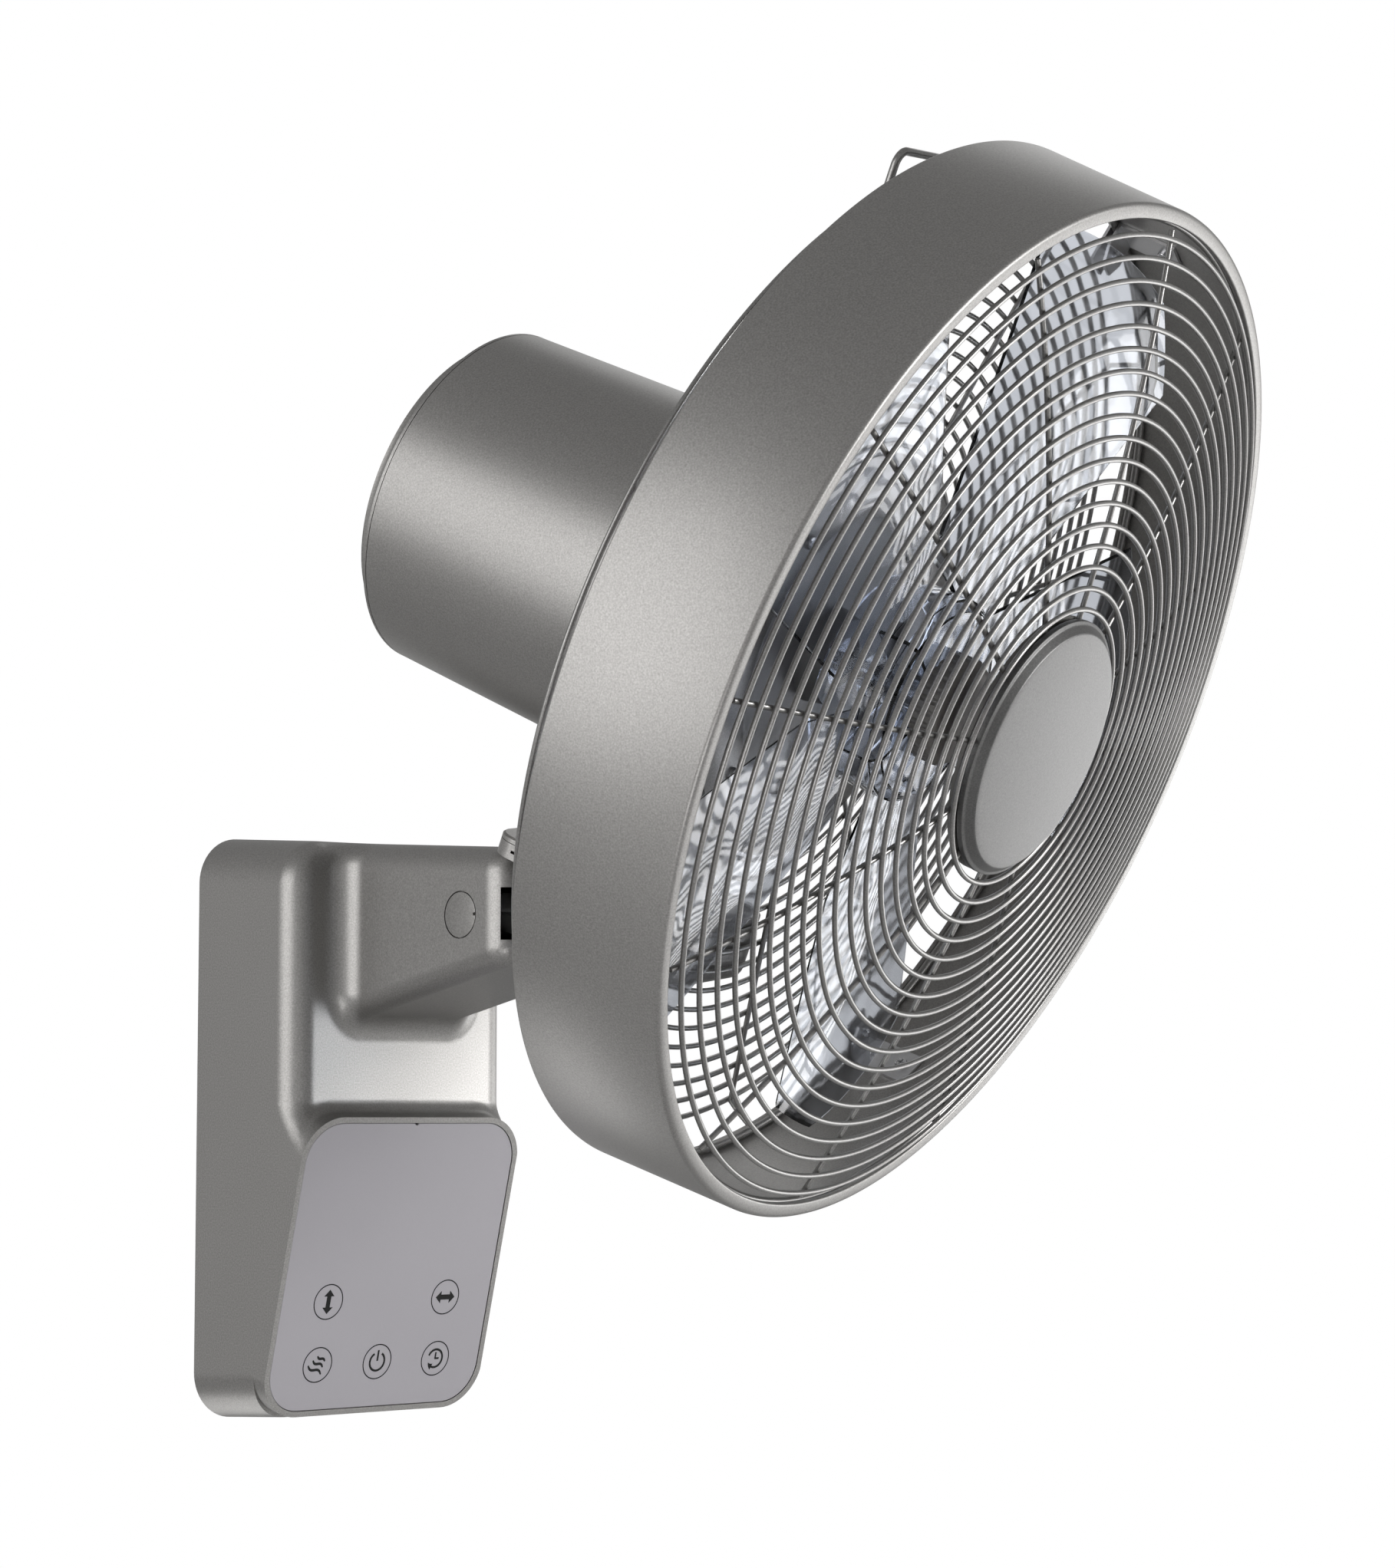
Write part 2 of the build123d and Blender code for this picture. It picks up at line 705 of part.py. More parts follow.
with BuildPart() as board_screws:
    for x in (-board_holes_x / 2, board_holes_x / 2):
        for z in (board_height - board_holes_z / 2, board_height + board_holes_z / 2):
            with Locations(Plane(origin=(x, -board_face - board_thickness, z), x_dir=(1, 0, 0), z_dir=(0, -1, 0))):
                add(m3_screw)
board_screws.part.label = "board_screws"

# ---------------------------------------------------------------- tilt joint

with BuildPart() as tilt_pin:
    with BuildSketch(cross_level(-pin_half, -tilt_depth, tilt_height)):
        Circle(pin_radius)
    extrude(amount=2 * pin_half)
    chamfer(tilt_pin.edges().filter_by(GeomType.CIRCLE), 0.5)
tilt_pin.part.label = "tilt_pin"

with BuildPart() as pivot_caps:
    for side in (-1, 1):
        with BuildSketch(cross_level(side * cap_floor, -tilt_depth, tilt_height)):
            Circle(cap_radius)
            with Locations((-cap_radius + cap_notch, 0)):
                Rectangle(2 * cap_notch, 2 * cap_notch, mode=Mode.SUBTRACT)
        extrude(amount=side * cap_seat)
pivot_caps.part.label = "pivot_caps"


def gear_teeth(count, pitch_radius, first, middle_angle):
    """Corners of `count` straight-sided teeth, tooth `first` standing at middle_angle."""
    total = 2 * pitch_radius / gear_module
    corners = []
    for tooth in range(first, first + count):
        angle = radians(middle_angle + 360 * tooth / total)
        for radius, half in (
            (pitch_radius - tooth_dedendum, -tooth_root / 2),
            (pitch_radius + tooth_addendum, -tooth_tip / 2),
            (pitch_radius + tooth_addendum, tooth_tip / 2),
            (pitch_radius - tooth_dedendum, tooth_root / 2),
        ):
            turn = angle + half / radius
            corners.append((radius * cos(turn), radius * sin(turn)))
    return corners


sector_radius = gear_module * sector_teeth / 2
pinion_radius = gear_module * pinion_teeth / 2
swing_gear_radius = gear_module * swing_teeth / 2
tongue_reach = (swing_reach - deck_radius + deck_top / 2) / cos(radians(tongue_angle))

with BuildPart() as tilt_knuckle:
    with BuildSketch(cross_level(-barrel_half, -tilt_depth, tilt_height)):
        Circle(barrel_radius)
    extrude(amount=2 * barrel_half)
    with BuildSketch(neck_side):
        with Locations((tongue_reach / 2 * cos(radians(tongue_angle)), tongue_reach / 2 * sin(radians(tongue_angle)))):
            Rectangle(tongue_reach, tongue_thickness, rotation=tongue_angle)
    extrude(amount=tongue_width / 2, both=True)
    with BuildSketch(knuckle_level(deck_low)):
        Circle(deck_radius)
        with Locations((-deck_radius / 3, 0)):
            Rectangle(2 * deck_radius / 3, 2 * deck_radius)
    extrude(amount=deck_top - deck_low)
    with BuildSketch(knuckle_level(deck_top)):
        Circle(post_radius)
    extrude(amount=gear_seat - deck_top)
    with BuildSketch(knuckle_level(gear_seat)):
        Circle(spigot_radius)
        Rectangle(2 * spigot_flat, 2 * spigot_radius, mode=Mode.INTERSECT)
    extrude(amount=post_top - gear_seat)
    with BuildSketch(knuckle_level(gear_seat + gear_face)):
        Circle(2 * spigot_radius)
        Circle(spigot_radius - circlip_groove, mode=Mode.SUBTRACT)
    extrude(amount=circlip_thickness + seat_gap, mode=Mode.SUBTRACT)
    # toothed sector on the barrel, behind the pin
    with BuildSketch(cross_level(sector_left, -tilt_depth, tilt_height)):
        with BuildLine():
            Polyline((0, 0), *gear_teeth(sector_span, sector_radius, sector_first, 0), close=True)
        make_face()
    extrude(amount=sector_width)
    # bore for the pin, and the way for the wires through the post
    with BuildSketch(cross_level(-barrel_half, -tilt_depth, tilt_height)):
        Circle(pin_radius + running_fit)
    extrude(amount=2 * barrel_half, mode=Mode.SUBTRACT)
    with BuildSketch(knuckle_level(0)):
        Circle(wire_way)
    extrude(amount=post_top + deck_low, mode=Mode.SUBTRACT)
tilt_knuckle.part.label = "tilt_knuckle"

with BuildPart() as pivot_washers:
    for side in (-1, 1):
        with BuildSketch(cross_level(side * barrel_half, -tilt_depth, tilt_height)):
            Circle(barrel_radius - 1)
            Circle(pin_radius + running_fit, mode=Mode.SUBTRACT)
        extrude(amount=side * (boss_face - barrel_half - washer_gap))
pivot_washers.part.label = "pivot_washers"


def gear_motor():
    """Small gear motor, its mounting face at the origin, body towards -Z, shaft bore gearmotor_offset along X."""
    with BuildPart() as motor:
        with BuildSketch():
            Circle(gearmotor_radius)
        extrude(amount=-gearmotor_height)
        fillet(motor.faces().sort_by(Axis.Z)[0].edges(), gearmotor_edge)
        with BuildSketch():
            Rectangle(2 * ear_radius, 2 * gearmotor_ear)
            with Locations((0, gearmotor_ear), (0, -gearmotor_ear)):
                Circle(ear_radius)
            with Locations((0, gearmotor_ear), (0, -gearmotor_ear)):
                Circle(ear_hole, mode=Mode.SUBTRACT)
        extrude(amount=-ear_thickness)
        with BuildSketch(Plane.XY.offset(gearmotor_edge - gearmotor_height)):
            with Locations((gearmotor_plug_sink - gearmotor_radius, 0)):
                Rectangle(*gearmotor_plug)
        extrude(amount=gearmotor_height - 4 * gearmotor_edge)
        with BuildSketch():
            with Locations((gearmotor_offset, 0)):
                Circle(gearmotor_shaft + running_fit)
        extrude(amount=-shaft_seat - seam, mode=Mode.SUBTRACT)
    return motor.part


def pinion(gap, face):
    """Pinion with its shaft, the motor's face at the origin, teeth from `gap` up, a gap between teeth at -X."""
    with BuildPart() as gear:
        with BuildSketch(Plane.XY.offset(gap)):
            with BuildLine():
                Polyline(*gear_teeth(pinion_teeth, pinion_radius, 0, 180 / pinion_teeth), close=True)
            make_face()
        extrude(amount=face)
        with BuildSketch(Plane.XY.offset(-shaft_seat)):
            Circle(gearmotor_shaft)
        extrude(amount=shaft_seat + gap)
    return gear.part


small_motor = gear_motor()

# the tilt motor lies along X, its shaft one offset nearer the pin than its middle
tilt_motor_plane = Plane(origin=(tilt_motor_face, -tilt_motor_depth, tilt_height), x_dir=(0, -1, 0), z_dir=(1, 0, 0))
tilt_pinion_plane = Plane(origin=(tilt_motor_face, -pinion_depth, tilt_height), x_dir=(0, 1, 0), z_dir=(1, 0, 0))

with BuildPart() as tilt_motor:
    with Locations(tilt_motor_plane):
        add(small_motor)
tilt_motor.part.label = "tilt_motor"

with BuildPart() as tilt_motor_screws:
    for side in (-1, 1):
        with Locations(Plane(
            origin=(tilt_motor_face - ear_thickness, -tilt_motor_depth, tilt_height + side * gearmotor_ear),
            x_dir=(0, 1, 0), z_dir=(-1, 0, 0),
        )):
            add(m3_screw)
tilt_motor_screws.part.label = "tilt_motor_screws"

with BuildPart() as tilt_pinion:
    with Locations(tilt_pinion_plane):
        add(pinion(sector_left - tilt_motor_face - seam, sector_width + 2 * seam))
tilt_pinion.part.label = "tilt_pinion"

# ---------------------------------------------------------------- swing joint and neck

hub_bore = post_radius + bush_wall + running_fit
hub_outer = hub_bore + hub_wall
hub_top = gear_seat - seam
swing_centre = gear_module * (swing_teeth + pinion_teeth) / 2
swing_motor_face = gear_seat - seat_gap
motor_stand_off = hub_outer + gearmotor_radius + 2 * seam
# the motor's middle lies a motor offset from the pinion's axis, and clear of the hub
swing_motor_forward = (motor_stand_off ** 2 + swing_centre ** 2 - gearmotor_offset ** 2) / (2 * swing_centre)
swing_motor_right = sqrt(motor_stand_off ** 2 - swing_motor_forward ** 2)

with BuildPart() as swing_washer:
    with BuildSketch(knuckle_level(deck_top)):
        Circle(deck_radius - 3)
        Circle(post_radius + running_fit, mode=Mode.SUBTRACT)
    extrude(amount=swing_washer_thickness)
swing_washer.part.label = "swing_washer"

with BuildPart() as swing_bush:
    with BuildSketch(neck_level(case_low)):
        Circle(post_radius + bush_wall)
        Circle(post_radius + running_fit, mode=Mode.SUBTRACT)
    extrude(amount=hub_top - case_low)
swing_bush.part.label = "swing_bush"

with BuildPart() as swing_gear:
    with BuildSketch(neck_level(gear_seat)):
        with BuildLine():
            Polyline(*gear_teeth(swing_teeth, swing_gear_radius, 0, 0), close=True)
        make_face()
    extrude(amount=gear_face - seat_gap)
    with BuildSketch(knuckle_level(gear_seat)):
        Circle(spigot_radius + seat_gap)
        Rectangle(2 * spigot_flat + 2 * seat_gap, 4 * spigot_radius, mode=Mode.INTERSECT)
    extrude(amount=gear_face, mode=Mode.SUBTRACT)
swing_gear.part.label = "swing_gear"

with BuildPart() as swing_circlip:
    with BuildSketch(knuckle_level(gear_seat + gear_face)):
        Circle(spigot_radius + 2.4)
        Circle(spigot_radius - circlip_groove + seat_gap / 2, mode=Mode.SUBTRACT)
        with Locations((-spigot_radius, 0)):
            Rectangle(2 * spigot_radius, spigot_radius, mode=Mode.SUBTRACT)
    extrude(amount=circlip_thickness)
swing_circlip.part.label = "swing_circlip"


shell_top = neck_top - cover_thickness
screw_front = case_front - foot_screw_front
screw_front_right = neck_screw_right - neck_screw_draw
screw_spots = (
    (-foot_screw_back, neck_screw_right), (-foot_screw_back, -neck_screw_right),
    (screw_front, screw_front_right), (screw_front, -screw_front_right),
)
peg_right = neck_half_width - peg_inset
peg_spots = ((peg_inset - tail_back, peg_right), (peg_inset - tail_back, -peg_right))


def rounded_box(level, height, back, front, half, back_corner, front_corner):
    """Prism over the neck's outline: straight sides, its four upright edges rounded."""
    with BuildPart() as box:
        with BuildSketch(neck_level(level)):
            with Locations(((front - back) / 2, 0)):
                Rectangle(front + back, 2 * half)
        extrude(amount=height)
        upright = box.edges().filter_by(lambda e: abs(e.tangent_at(0.5).dot(neck_up)) > 0.99)
        ordered = upright.sort_by(Axis(origin=swing_foot, direction=fan_forward))
        fillet(ordered[:2], back_corner)
        ordered = box.edges().filter_by(
            lambda e: abs(e.tangent_at(0.5).dot(neck_up)) > 0.99
        ).sort_by(Axis(origin=swing_foot, direction=fan_forward))
        fillet(ordered[-2:], front_corner)
    return box.part


with BuildPart() as neck_shell:
    add(rounded_box(case_low, shell_top - case_low, case_back, case_front, neck_half_width, case_corner, case_corner))
    fillet(neck_shell.faces().sort_by(swing_line)[0].edges(), case_edge)
    add(rounded_box(tail_low, shell_top - tail_low, tail_back, case_front, neck_half_width, tail_corner, case_corner))
    add(
        rounded_box(case_low + neck_wall, shell_top - case_low, case_back - neck_wall, case_front - neck_wall,
                    neck_half_width - neck_wall, case_corner - neck_wall, case_corner - neck_wall),
        mode=Mode.SUBTRACT,
    )
    add(
        rounded_box(tail_low + neck_wall, shell_top - tail_low, tail_back - neck_wall, case_front - neck_wall,
                    neck_half_width - neck_wall, tail_corner - neck_wall, case_corner - neck_wall),
        mode=Mode.SUBTRACT,
    )
    with BuildSketch(neck_level(case_low)):
        Circle(hub_outer)
    extrude(amount=hub_top - case_low)
    with BuildSketch(neck_level(case_low)):
        Circle(hub_bore)
    extrude(amount=hub_top - case_low, mode=Mode.SUBTRACT)

# corner bosses for the column's screws, posts for the swing motor and bosses for the cover's pegs
swing_motor_plane = Plane(
    origin=swing_foot + neck_up * swing_motor_face + fan_forward * swing_motor_forward + fan_right * swing_motor_right,
    x_dir=fan_forward * (swing_centre - swing_motor_forward) - fan_right * swing_motor_right,
    z_dir=neck_up,
)
swing_pinion_plane = Plane(
    origin=swing_foot + neck_up * swing_motor_face + fan_forward * swing_centre, x_dir=fan_forward, z_dir=neck_up
)
ear_spots = [
    swing_motor_plane.from_local_coords(Vector(0, side * gearmotor_ear, -ear_thickness)) for side in (-1, 1)
]


def upright(point):
    """Plane across the swing axis through a point."""
    return Plane(origin=point, x_dir=fan_forward, z_dir=neck_up)


with BuildPart() as neck_posts:
    with BuildSketch(neck_level(case_low + neck_wall / 2)):
        with Locations(*screw_spots[2:]):
            Circle(2 * screw_m3_radius)
    extrude(amount=shell_top - case_low - neck_wall / 2)
    with BuildSketch(neck_level(tail_low + neck_wall / 2)):
        with Locations(*screw_spots[:2]):
            Circle(2 * screw_m3_radius)
        with Locations(*peg_spots):
            Circle(2 * peg_radius)
    extrude(amount=shell_top - tail_low - neck_wall / 2)
    for spot in ear_spots:
        with BuildSketch(upright(spot)):
            Circle(ear_radius - seam)
        extrude(amount=case_low + neck_wall / 2 + ear_thickness - swing_motor_face)

with BuildPart() as neck_block:
    add(neck_shell.part)
    add(neck_posts.part)
    # pilot holes for the screws and sockets for the cover's pegs
    for spot in ear_spots:
        with BuildSketch(upright(spot)):
            Circle(screw_m3_radius + seat_gap / 2)
        extrude(amount=-edge_radius / 1.5, mode=Mode.SUBTRACT)
    with BuildSketch(neck_level(shell_top)):
        with Locations(*screw_spots):
            Circle(screw_m3_radius + seat_gap / 2)
        with Locations(*peg_spots):
            Circle(peg_radius + seat_gap)
    extrude(amount=-peg_length - seam, mode=Mode.SUBTRACT)
    # small latch slot below the cover's seam, near the left rear corner
    with BuildSketch(Plane(
        origin=swing_foot + neck_up * (shell_top - slot_drop) - fan_right * neck_half_width
        - fan_forward * (tail_back - slot_from_back),
        x_dir=fan_forward, z_dir=fan_right * -1,
    )):
        Rectangle(slot_length, slot_height)
    extrude(amount=2 * neck_wall, both=True, mode=Mode.SUBTRACT)
neck_block.part.label = "neck_block"

with BuildPart() as neck_cover:
    add(rounded_box(shell_top, cover_thickness, tail_back, 0, neck_half_width, tail_corner, split_corner))
    with BuildSketch(neck_level(shell_top)):
        with Locations((cover_split, 0)):
            Rectangle(4 * cover_split, 4 * neck_half_width)
    extrude(amount=2 * cover_thickness, mode=Mode.SUBTRACT)
    chamfer(neck_cover.faces().sort_by(swing_line)[-1].edges(), 0.8)
    chamfer(neck_cover.faces().sort_by(swing_line)[0].edges(), seam)
    with BuildSketch(neck_level(shell_top + seam)):
        with Locations(*peg_spots):
            Circle(peg_radius)
    extrude(amount=-peg_length - seam)
neck_cover.part.label = "neck_cover"

# ---------------------------------------------------------------- motor housing and its column

tube_slope = (tube_radius_front - tube_radius_rear) / (tube_front - tube_rear)


def tube_radius(forward):
    """Outer radius of the motor housing at a place along the fan axis."""
    return tube_radius_rear + (forward - tube_rear) * tube_slope


def turned(points):
    """Solid of revolution about the fan axis from (radius, forward) corners."""
    with BuildPart() as solid:
        with BuildSketch(fan_section):
            with BuildLine():
                Polyline(*points, close=True)
            make_face()
        revolve(axis=fan_line)
    return solid.part


saddle = turned((
    (0, -column_back - edge_radius), (tube_radius(-column_back - edge_radius) + seat_gap, -column_back - edge_radius),
    (tube_radius(column_front + edge_radius) + seat_gap, column_front + edge_radius),
    (0, column_front + edge_radius),
))
column_height = head_rise - neck_top
column_screw_spots = ((-column_back + column_wall + 2 * screw_m4_radius - 1, 0),
                      (column_front - column_wall - 2 * screw_m4_radius + 1, 0))

with BuildPart() as column_core:
    add(rounded_box(shell_top - seam, column_height, column_back - column_wall, column_front - column_wall,
                    column_half_width - column_wall, column_corner - column_wall, column_corner - column_wall))
    with BuildSketch(neck_level(neck_top)):
        with Locations(*column_screw_spots):
            Circle(2 * screw_m4_radius)
    extrude(amount=column_height, mode=Mode.SUBTRACT)

with BuildPart() as neck_column:
    add(rounded_box(shell_top, cover_thickness, cover_split - seam, case_front, neck_half_width, split_corner,
                    case_corner))
    chamfer(neck_column.faces().sort_by(swing_line)[-1].edges(), 0.8)
    add(rounded_box(neck_top, column_height - tube_radius_front / 2, column_back, column_front, column_half_width,
                    column_corner, column_corner))
    foot_ring = neck_column.edges().filter_by(
        lambda e: abs((e.center() - swing_foot).dot(neck_up) - neck_top) < seat_gap
        and abs((e.center() - swing_foot).dot(fan_right)) < column_half_width + seat_gap
        and -column_back - seat_gap < (e.center() - swing_foot).dot(fan_forward) < column_front + seat_gap
    )
    fillet(foot_ring, foot_cove)
    add(saddle, mode=Mode.SUBTRACT)
    add(column_core.part, mode=Mode.SUBTRACT)
    with BuildSketch(neck_level(shell_top)):
        with Locations(*screw_spots):
            Circle(screw_m3_radius + screw_fit)
    extrude(amount=2 * cover_thickness, mode=Mode.SUBTRACT)
    with BuildSketch(neck_level(neck_top)):
        with Locations(*column_screw_spots):
            Circle(screw_m4_radius + seat_gap / 2)
    extrude(amount=column_height, mode=Mode.SUBTRACT)
neck_column.part.label = "neck_column"

with BuildPart() as neck_screws:
    for spot in screw_spots:
        with Locations(upright(neck_level(neck_top).from_local_coords(Vector(spot[0], spot[1], 0)))):
            add(m3_screw)
neck_screws.part.label = "neck_screws"

with BuildPart() as swing_motor:
    with Locations(swing_motor_plane):
        add(small_motor)
swing_motor.part.label = "swing_motor"

with BuildPart() as swing_motor_screws:
    for spot in ear_spots:
        with Locations(upright(spot + neck_up * ear_thickness)):
            add(ear_screw)
swing_motor_screws.part.label = "swing_motor_screws"

with BuildPart() as swing_pinion:
    with Locations(swing_pinion_plane):
        add(pinion(2 * seat_gap, gear_face))
swing_pinion.part.label = "swing_pinion"

with BuildPart() as motor_housing:
    add(turned((
        (tube_radius_rear, tube_rear), (tube_radius_front, tube_front),
        (tube_radius_front - tube_wall, tube_front), (tube_radius_rear - tube_wall, tube_rear),
    )))
    # bosses that take the front plate's screws
    with BuildSketch(fan_level(plate_back - 2 * boss_length)):
        with PolarLocations(boss_circle, 3, start_angle=90):
            Circle(boss_radius)
        Circle(tube_radius(plate_back - 2 * boss_length) - tube_wall / 2, mode=Mode.INTERSECT)
    extrude(amount=2 * boss_length - seat_gap)
    with BuildSketch(fan_level(plate_back)):
        with PolarLocations(boss_circle, 3, start_angle=90):
            Circle(screw_m4_radius + seat_gap / 2)
    extrude(amount=-2 * boss_length + 1, mode=Mode.SUBTRACT)
    with BuildSketch(neck_level(neck_top)):
        with Locations(((column_front - column_back) / 2, 0)):
            Circle(2 * wire_way)
        with Locations(*column_screw_spots):
            Circle(screw_m4_radius + screw_fit)
    extrude(amount=column_height, mode=Mode.SUBTRACT)
motor_housing.part.label = "motor_housing"

with BuildPart() as column_screws:
    for forward, right in column_screw_spots:
        inner = head_rise - tube_radius(forward) + tube_wall
        with Locations(upright(neck_level(inner + 2 * seat_gap).from_local_coords(Vector(forward, right, 0)))):
            add(m4_screw)
column_screws.part.label = "column_screws"

cap_joint = tube_rear - seam
skirt_radius = tube_radius_rear - tube_wall - seat_gap

with BuildPart() as motor_rear_cap:
    with BuildSketch(fan_section):
        with BuildLine():
            Polyline(
                (0, cap_rear), (tube_radius_rear - cap_edge_radius, cap_rear),
            )
            RadiusArc((tube_radius_rear - cap_edge_radius, cap_rear), (tube_radius_rear, cap_rear + cap_edge_radius),
                      cap_edge_radius)
            Polyline(
                (tube_radius_rear, cap_rear + cap_edge_radius), (tube_radius_rear, cap_joint),
                (skirt_radius, cap_joint), (skirt_radius, cap_joint + edge_radius),
                (skirt_radius - tube_wall, cap_joint + edge_radius),
                (skirt_radius - tube_wall, cap_rear + cap_edge_radius),
                (tube_radius_rear - cap_edge_radius - tube_wall, cap_rear + tube_wall),
                (0, cap_rear + tube_wall), (0, cap_rear),
            )
        make_face()
    revolve(axis=fan_line)
    # vent slots
    with BuildSketch(fan_level(cap_rear)):
        with PolarLocations(vent_circle, vent_count):
            SlotOverall(vent_length, vent_width)
    extrude(amount=2 * tube_wall, mode=Mode.SUBTRACT)
motor_rear_cap.part.label = "motor_rear_cap"

# ---------------------------------------------------------------- motor

with BuildPart() as motor_front_plate:
    add(turned((
        (shaft_radius + 3, plate_back), (tube_radius(plate_back) - tube_wall - seat_gap, plate_back),
        (tube_radius(plate_back) - tube_wall - seat_gap, tube_front), (rear_flange_inner, tube_front),
        (rear_flange_inner - 2, plate_face), (nose_radius + 2, plate_face), (nose_radius, nose_front),
        (shaft_radius + 3, nose_front),
    )))
    with BuildSketch(fan_level(nose_front)):
        Circle(bearing_radius + seat_gap / 2)
    extrude(amount=-bearing_length - seam, mode=Mode.SUBTRACT)
    with BuildSketch(fan_level(plate_back)):
        with PolarLocations(boss_circle, 3, start_angle=90):
            Circle(screw_m4_radius + screw_fit)
        with PolarLocations(bell_circle, 3, start_angle=30):
            Circle(screw_m3_radius + screw_fit)
    extrude(amount=tube_front, mode=Mode.SUBTRACT)
    with BuildSketch(fan_level(tube_front)):
        with PolarLocations(boss_circle, 3, start_angle=90):
            Circle(screw_m4_head_radius + seam)
    extrude(amount=plate_face - tube_front - plate_screw_sink, mode=Mode.SUBTRACT)
    with BuildSketch(fan_level(tube_front)):
        with PolarLocations(boss_circle, 4, start_angle=flange_screw_angle):
            Circle(screw_m3_radius + seat_gap / 2)
    extrude(amount=plate_back - tube_front + 1, mode=Mode.SUBTRACT)
motor_front_plate.part.label = "motor_front_plate"

with BuildPart() as motor_plate_screws:
    for angle in (90, 210, 330):
        spot = fan_level(0, angle).x_dir * boss_circle + fan_centre + fan_forward * (plate_face - plate_screw_sink)
        with Locations(Plane(origin=spot, x_dir=fan_right, z_dir=fan_forward)):
            add(m4_screw)
motor_plate_screws.part.label = "motor_plate_screws"

with BuildPart() as motor_rear_bell:
    add(turned((
        (bearing_radius + 3, bell_rear - boss_length), (bearing_radius + 3, bell_rear),
        (bell_radius, bell_rear), (bell_radius, plate_back - bell_flange), (bell_circle + 5, plate_back - bell_flange),
        (bell_circle + 5, plate_back - seat_gap), (bell_radius - bell_wall, plate_back - seat_gap),
        (bell_radius - bell_wall, bell_rear + bell_wall), (bearing_radius, bell_rear + bell_wall),
        (bearing_radius, bell_rear - boss_length + bell_wall), (shaft_radius + 1, bell_rear - boss_length + bell_wall),
        (shaft_radius + 1, bell_rear - boss_length),
    )))
    with BuildSketch(fan_level(plate_back)):
        with PolarLocations(bell_circle, 3, start_angle=30):
            Circle(screw_m3_radius + seat_gap / 2)
    extrude(amount=-2 * bell_flange, mode=Mode.SUBTRACT)
    with BuildSketch(fan_level(bell_rear + bell_wall / 2)):
        with PolarLocations(driver_circle, 3, start_angle=90):
            Circle(stud_radius)
    extrude(amount=driver_face - bell_rear - bell_wall / 2)
    with BuildSketch(fan_level(driver_face)):
        with PolarLocations(driver_circle, 3, start_angle=90):
            Circle(screw_m3_radius + seat_gap / 2)
    extrude(amount=boss_length, mode=Mode.SUBTRACT)
motor_rear_bell.part.label = "motor_rear_bell"

with BuildPart() as bell_screws:
    for angle in (30, 150, 270):
        spot = fan_level(0, angle).x_dir * bell_circle + fan_centre + fan_forward * plate_face
        with Locations(Plane(origin=spot, x_dir=fan_right, z_dir=fan_forward)):
            add(m3_pan_screw(plate_face - plate_back + bell_flange))
bell_screws.part.label = "bell_screws"

with BuildPart() as stator_core:
    with BuildSketch(fan_level(stator_rear)):
        Circle(bell_radius - bell_wall - seat_gap / 2)
        Circle(rotor_radius + air_gap, mode=Mode.SUBTRACT)
        with PolarLocations((rotor_radius + bell_radius) / 2, stator_slots):
            Rectangle(slot_depth, slot_width, mode=Mode.SUBTRACT)
    extrude(amount=stator_front - stator_rear)
stator_core.part.label = "stator_core"

with BuildPart() as stator_coils:
    for start, turn in ((stator_rear, -1), (stator_front, 1)):
        with BuildSketch(fan_level(start)):
            with PolarLocations((rotor_radius + bell_radius) / 2, stator_slots, start_angle=180 / stator_slots):
                Rectangle(slot_depth, coil_width)
        extrude(amount=turn * coil_height)
    fillet(stator_coils.faces().filter_by(lambda f: abs(f.normal_at().dot(fan_forward)) > 0.99).edges(), 1.0)
stator_coils.part.label = "stator_coils"

with BuildPart() as rotor:
    with BuildSketch(fan_level(stator_rear - 1)):
        Circle(rotor_radius)
        Circle(shaft_radius + running_fit, mode=Mode.SUBTRACT)
    extrude(amount=stator_front - stator_rear + 2)
    with BuildSketch(fan_level(stator_rear - 1)):
        with PolarLocations(rotor_radius * 0.6, 6):
            Circle(rotor_radius / 6)
    extrude(amount=stator_front - stator_rear + 2, mode=Mode.SUBTRACT)
rotor.part.label = "rotor"

bearing_spots = (bell_rear - boss_length + bell_wall, nose_front - bearing_length)

with BuildPart() as motor_bearings:
    for start in bearing_spots:
        with BuildSketch(fan_level(start)):
            Circle(bearing_radius - seat_gap / 2)
            Circle(shaft_radius + running_fit, mode=Mode.SUBTRACT)
        extrude(amount=bearing_length - 2)
        with BuildSketch(fan_level(start + bearing_length - 2)):
            Circle(bearing_radius - 2)
            Circle(bearing_radius - 4, mode=Mode.SUBTRACT)
        extrude(amount=-0.4, mode=Mode.SUBTRACT)
motor_bearings.part.label = "motor_bearings"

with BuildPart() as motor_shaft:
    with BuildSketch(fan_level(bell_rear - boss_length + bell_wall)):
        Circle(shaft_radius)
    extrude(amount=shaft_front - bell_rear + boss_length - bell_wall)
    chamfer(motor_shaft.edges().filter_by(GeomType.CIRCLE), 0.6)
    # drive pin of the fan hub
    with BuildSketch(Plane(origin=fan_centre + fan_forward * drive_pin_place - fan_right * drive_pin_half,
                           x_dir=neck_up, z_dir=fan_right)):
        Circle(drive_pin_radius)
    extrude(amount=2 * drive_pin_half)
motor_shaft.part.label = "motor_shaft"

